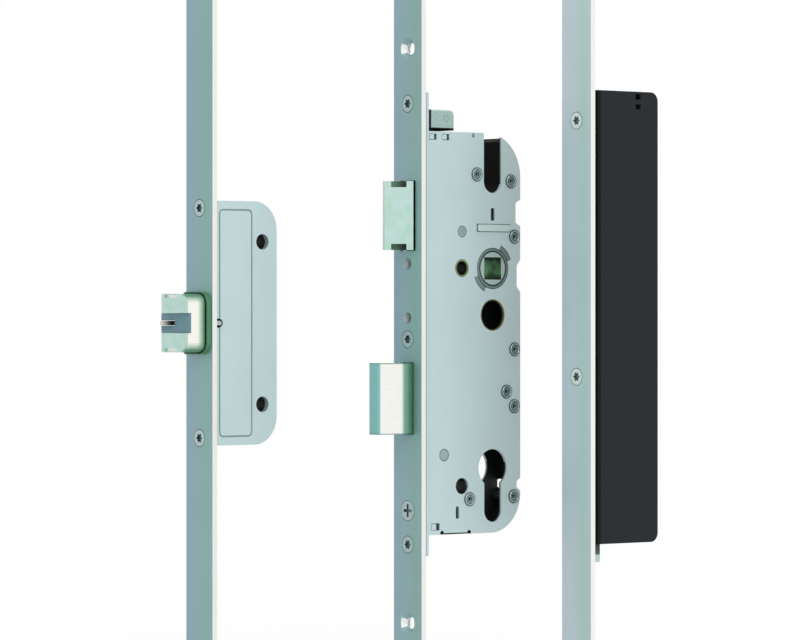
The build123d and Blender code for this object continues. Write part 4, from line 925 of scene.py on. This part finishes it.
def grown_piece(name, tree, points, given, body):
    """What this tree makes on these points, as a piece that rides on a body."""
    mesh = bpy.data.meshes.new(name + "_points")
    mesh.from_pydata([tuple(point) for point in points], [], [])
    source = bpy.data.objects.new(name + "_source", mesh)
    bpy.context.collection.objects.link(source)
    tool = source.modifiers.new(tree.name, "NODES")
    tool.node_group = tree
    for item in tree.interface.items_tree:
        if item.name in given:
            tool[item.identifier] = given[item.name]
    piece = plain_mesh(source, name)
    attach(piece, body)
    print(name, "on", len(points), "points,", len(piece.data.polygons), "faces")
    return piece


# %% [markdown]
# Each rivet's head is set by a hollow punch, which leaves a low rolled rim on both sides
# of the case. The rims sit on the heads, at the rivets' own places. The long screw that
# holds the cylinder has a thread. A helix would be truer, but only its tip just shows in
# the cylinder's hole, and at this size close rings look the same.

# %% Rivet rims and the screw's thread
to_y = (math.pi / 2, 0, 0)
to_x = (0, math.pi / 2, 0)
ring_wire = 0.22 * mm
rim_radius = 2.45 * mm
rim_y = 7.9
thread_radius = 2.32 * mm
thread_pitch = 0.8
thread_start = 6.0
thread_rings = 42
rim_points = [at("main", x, side * rim_y, z) for x, z in rivet_spots for side in (-1, 1)]
given = {"Ring radius": rim_radius, "Wire radius": ring_wire, "Turn": to_y,
         "Finish": turned_steel.material}
grown_piece("rivet_rims", rings_on_points, rim_points, given, "fixed_frames")
thread_points = [at("main", thread_start + step * thread_pitch, 0, long_screw_z)
                 for step in range(thread_rings)]
given = {"Ring radius": thread_radius, "Wire radius": ring_wire, "Turn": to_x,
         "Finish": screw_steel.material}
grown_piece("screw_thread", rings_on_points, thread_points, given, "fixed_frames")

# %% [markdown]
# The solids of the springs are rigid, so a bolt that slides back would run into them. Each
# spring is wound again here as a mesh of its own, which rides on a body. Its place and
# length come from the box of the spring's own solid, which the new piece replaces.


def wind_spring(node, turns, wire, body):
    """A spring in place of this solid, with these turns and wire in millimetres, riding on
    this body.
    """
    low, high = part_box(node)
    middle = (low + high) / 2
    length = high.x - low.x
    start = (low.x + wire * mm / 2, middle.y, middle.z)
    given = {"Turns": turns, "Coil radius": (high.z - low.z - wire * mm) / 2,
             "Wire radius": wire * mm / 2, "Length": length - wire * mm, "Turn": to_x,
             "Finish": spring_steel.material}
    name = node.replace("spring", "coil")
    piece = grown_piece(name, coils_on_points, [start], given, body)
    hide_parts(node)
    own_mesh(piece)


wind_spring("latch_spring", 10.0, 0.8, "fixed_frames")
wind_spring("follower_spring", 9.0, 0.7, "fixed_frames")
wind_spring("auto_bolt_spring", 9.0, 0.8, "fixed_frames")
wind_spring("trigger_spring", 7.0, 0.45, "auto_bolt")

# %% [markdown]
# A plain pale floor under the row catches a soft shadow. It should look white in the
# picture without more light on the lock, so where the camera or a reflection looks at it,
# most of it is its own white, and the rest is lit and shaded.

# %% The floor
floor_gap = 0.2 * mm
floor_z = solid_box[0][2] - floor_gap
floor_speck_size = 4 * mm
reach = 12.0


def floor_white():
    """White that keeps a soft shadow."""
    made = Finish("floor_white")
    speck = made.noise(floor_speck_size)
    made.put("Base Color", made.blend(speck, tone(250, 250, 250), tone(246, 246, 246)))
    made.put("Roughness", 0.9)
    glow = made.node("ShaderNodeEmission", {}, {"Color": (1, 1, 1, 1), "Strength": 1.0})[0]
    lit = Thread(made, made.shader.outputs[0])
    own_white = made.seen() * 0.93
    both = made.node("ShaderNodeMixShader", {}, {0: own_white, 1: lit, 2: glow})[0]
    made.tree.links.new(both.socket, made.tree.nodes["Material Output"].inputs["Surface"])
    return made


floor_mesh = bpy.data.meshes.new("floor")
corners = [(-reach, -reach, floor_z), (reach, -reach, floor_z),
           (reach, reach, floor_z), (-reach, reach, floor_z)]
floor_mesh.from_pydata(corners, [], [(0, 1, 2, 3)])
floor = bpy.data.objects.new("floor", floor_mesh)
bpy.context.collection.objects.link(floor)
floor.data.materials.append(floor_white().material)
print("floor at", round(floor_z, 4))

# %% [markdown]
# The light is that of a white studio: an even world, and two broad suns. The world shows
# pure white to the camera and to reflections, and lights the lock a little less than that,
# so that each colour comes out about as it was written.

# %% World and lamps


def studio_world(strength):
    """White where it is seen, and softer as light."""
    world = bpy.data.worlds.new("studio")
    bpy.context.scene.world = world
    world.use_nodes = True
    sky = ShaderTree(world.node_tree)
    values = {"Value": sky.seen(), "To Min": strength, "To Max": 1.0}
    level = sky.node("ShaderNodeMapRange", {}, values)[0]
    ground = sky.tree.nodes["Background"]
    ground.inputs["Color"].default_value = (1, 1, 1, 1)
    sky.tree.links.new(level.socket, ground.inputs["Strength"])


def sun(name, strength, turn, lift, width):
    """A broad sun that shines from this bearing and height, in degrees."""
    lamp = bpy.data.lights.new(name, "SUN")
    lamp.energy = strength
    lamp.angle = math.radians(width)
    holder = bpy.data.objects.new(name, lamp)
    bpy.context.collection.objects.link(holder)
    bearing = math.radians(turn)
    rise = math.radians(lift)
    towards = Vector((math.sin(bearing), -math.cos(bearing), 0)) * math.cos(rise)
    towards.z = math.sin(rise)
    holder.rotation_euler = towards.to_track_quat("Z", "Y").to_euler()


studio_world(0.7)
sun("key", 1.1, -20, 40, 30)
sun("fill", 0.35, 120, 30, 50)
print("world and two suns")

# %% [markdown]
# A long lens, far away, keeps the strips upright and almost parallel, as in a catalogue.
# The camera looks level, square to the row, so all three lengths are equally large.

# %% The camera
distance = 2.03
aim_up = 7.2
aim_along = -5.4
aim = Vector((0, 0, aim_up)) * mm + row_way * (aim_along * mm)
away = Vector((-math.sin(row_turn), -math.cos(row_turn), 0))
camera_data = bpy.data.cameras.new("camera")
camera_data.lens = 200.0
camera_data.clip_end = 100
camera = bpy.data.objects.new("camera", camera_data)
bpy.context.collection.objects.link(camera)
camera.location = aim + away * distance
camera.rotation_euler = away.to_track_quat("Z", "Y").to_euler()
bpy.context.scene.camera = camera
bpy.context.scene.view_settings.view_transform = "Standard"
print("camera at", [round(v, 3) for v in camera.location])
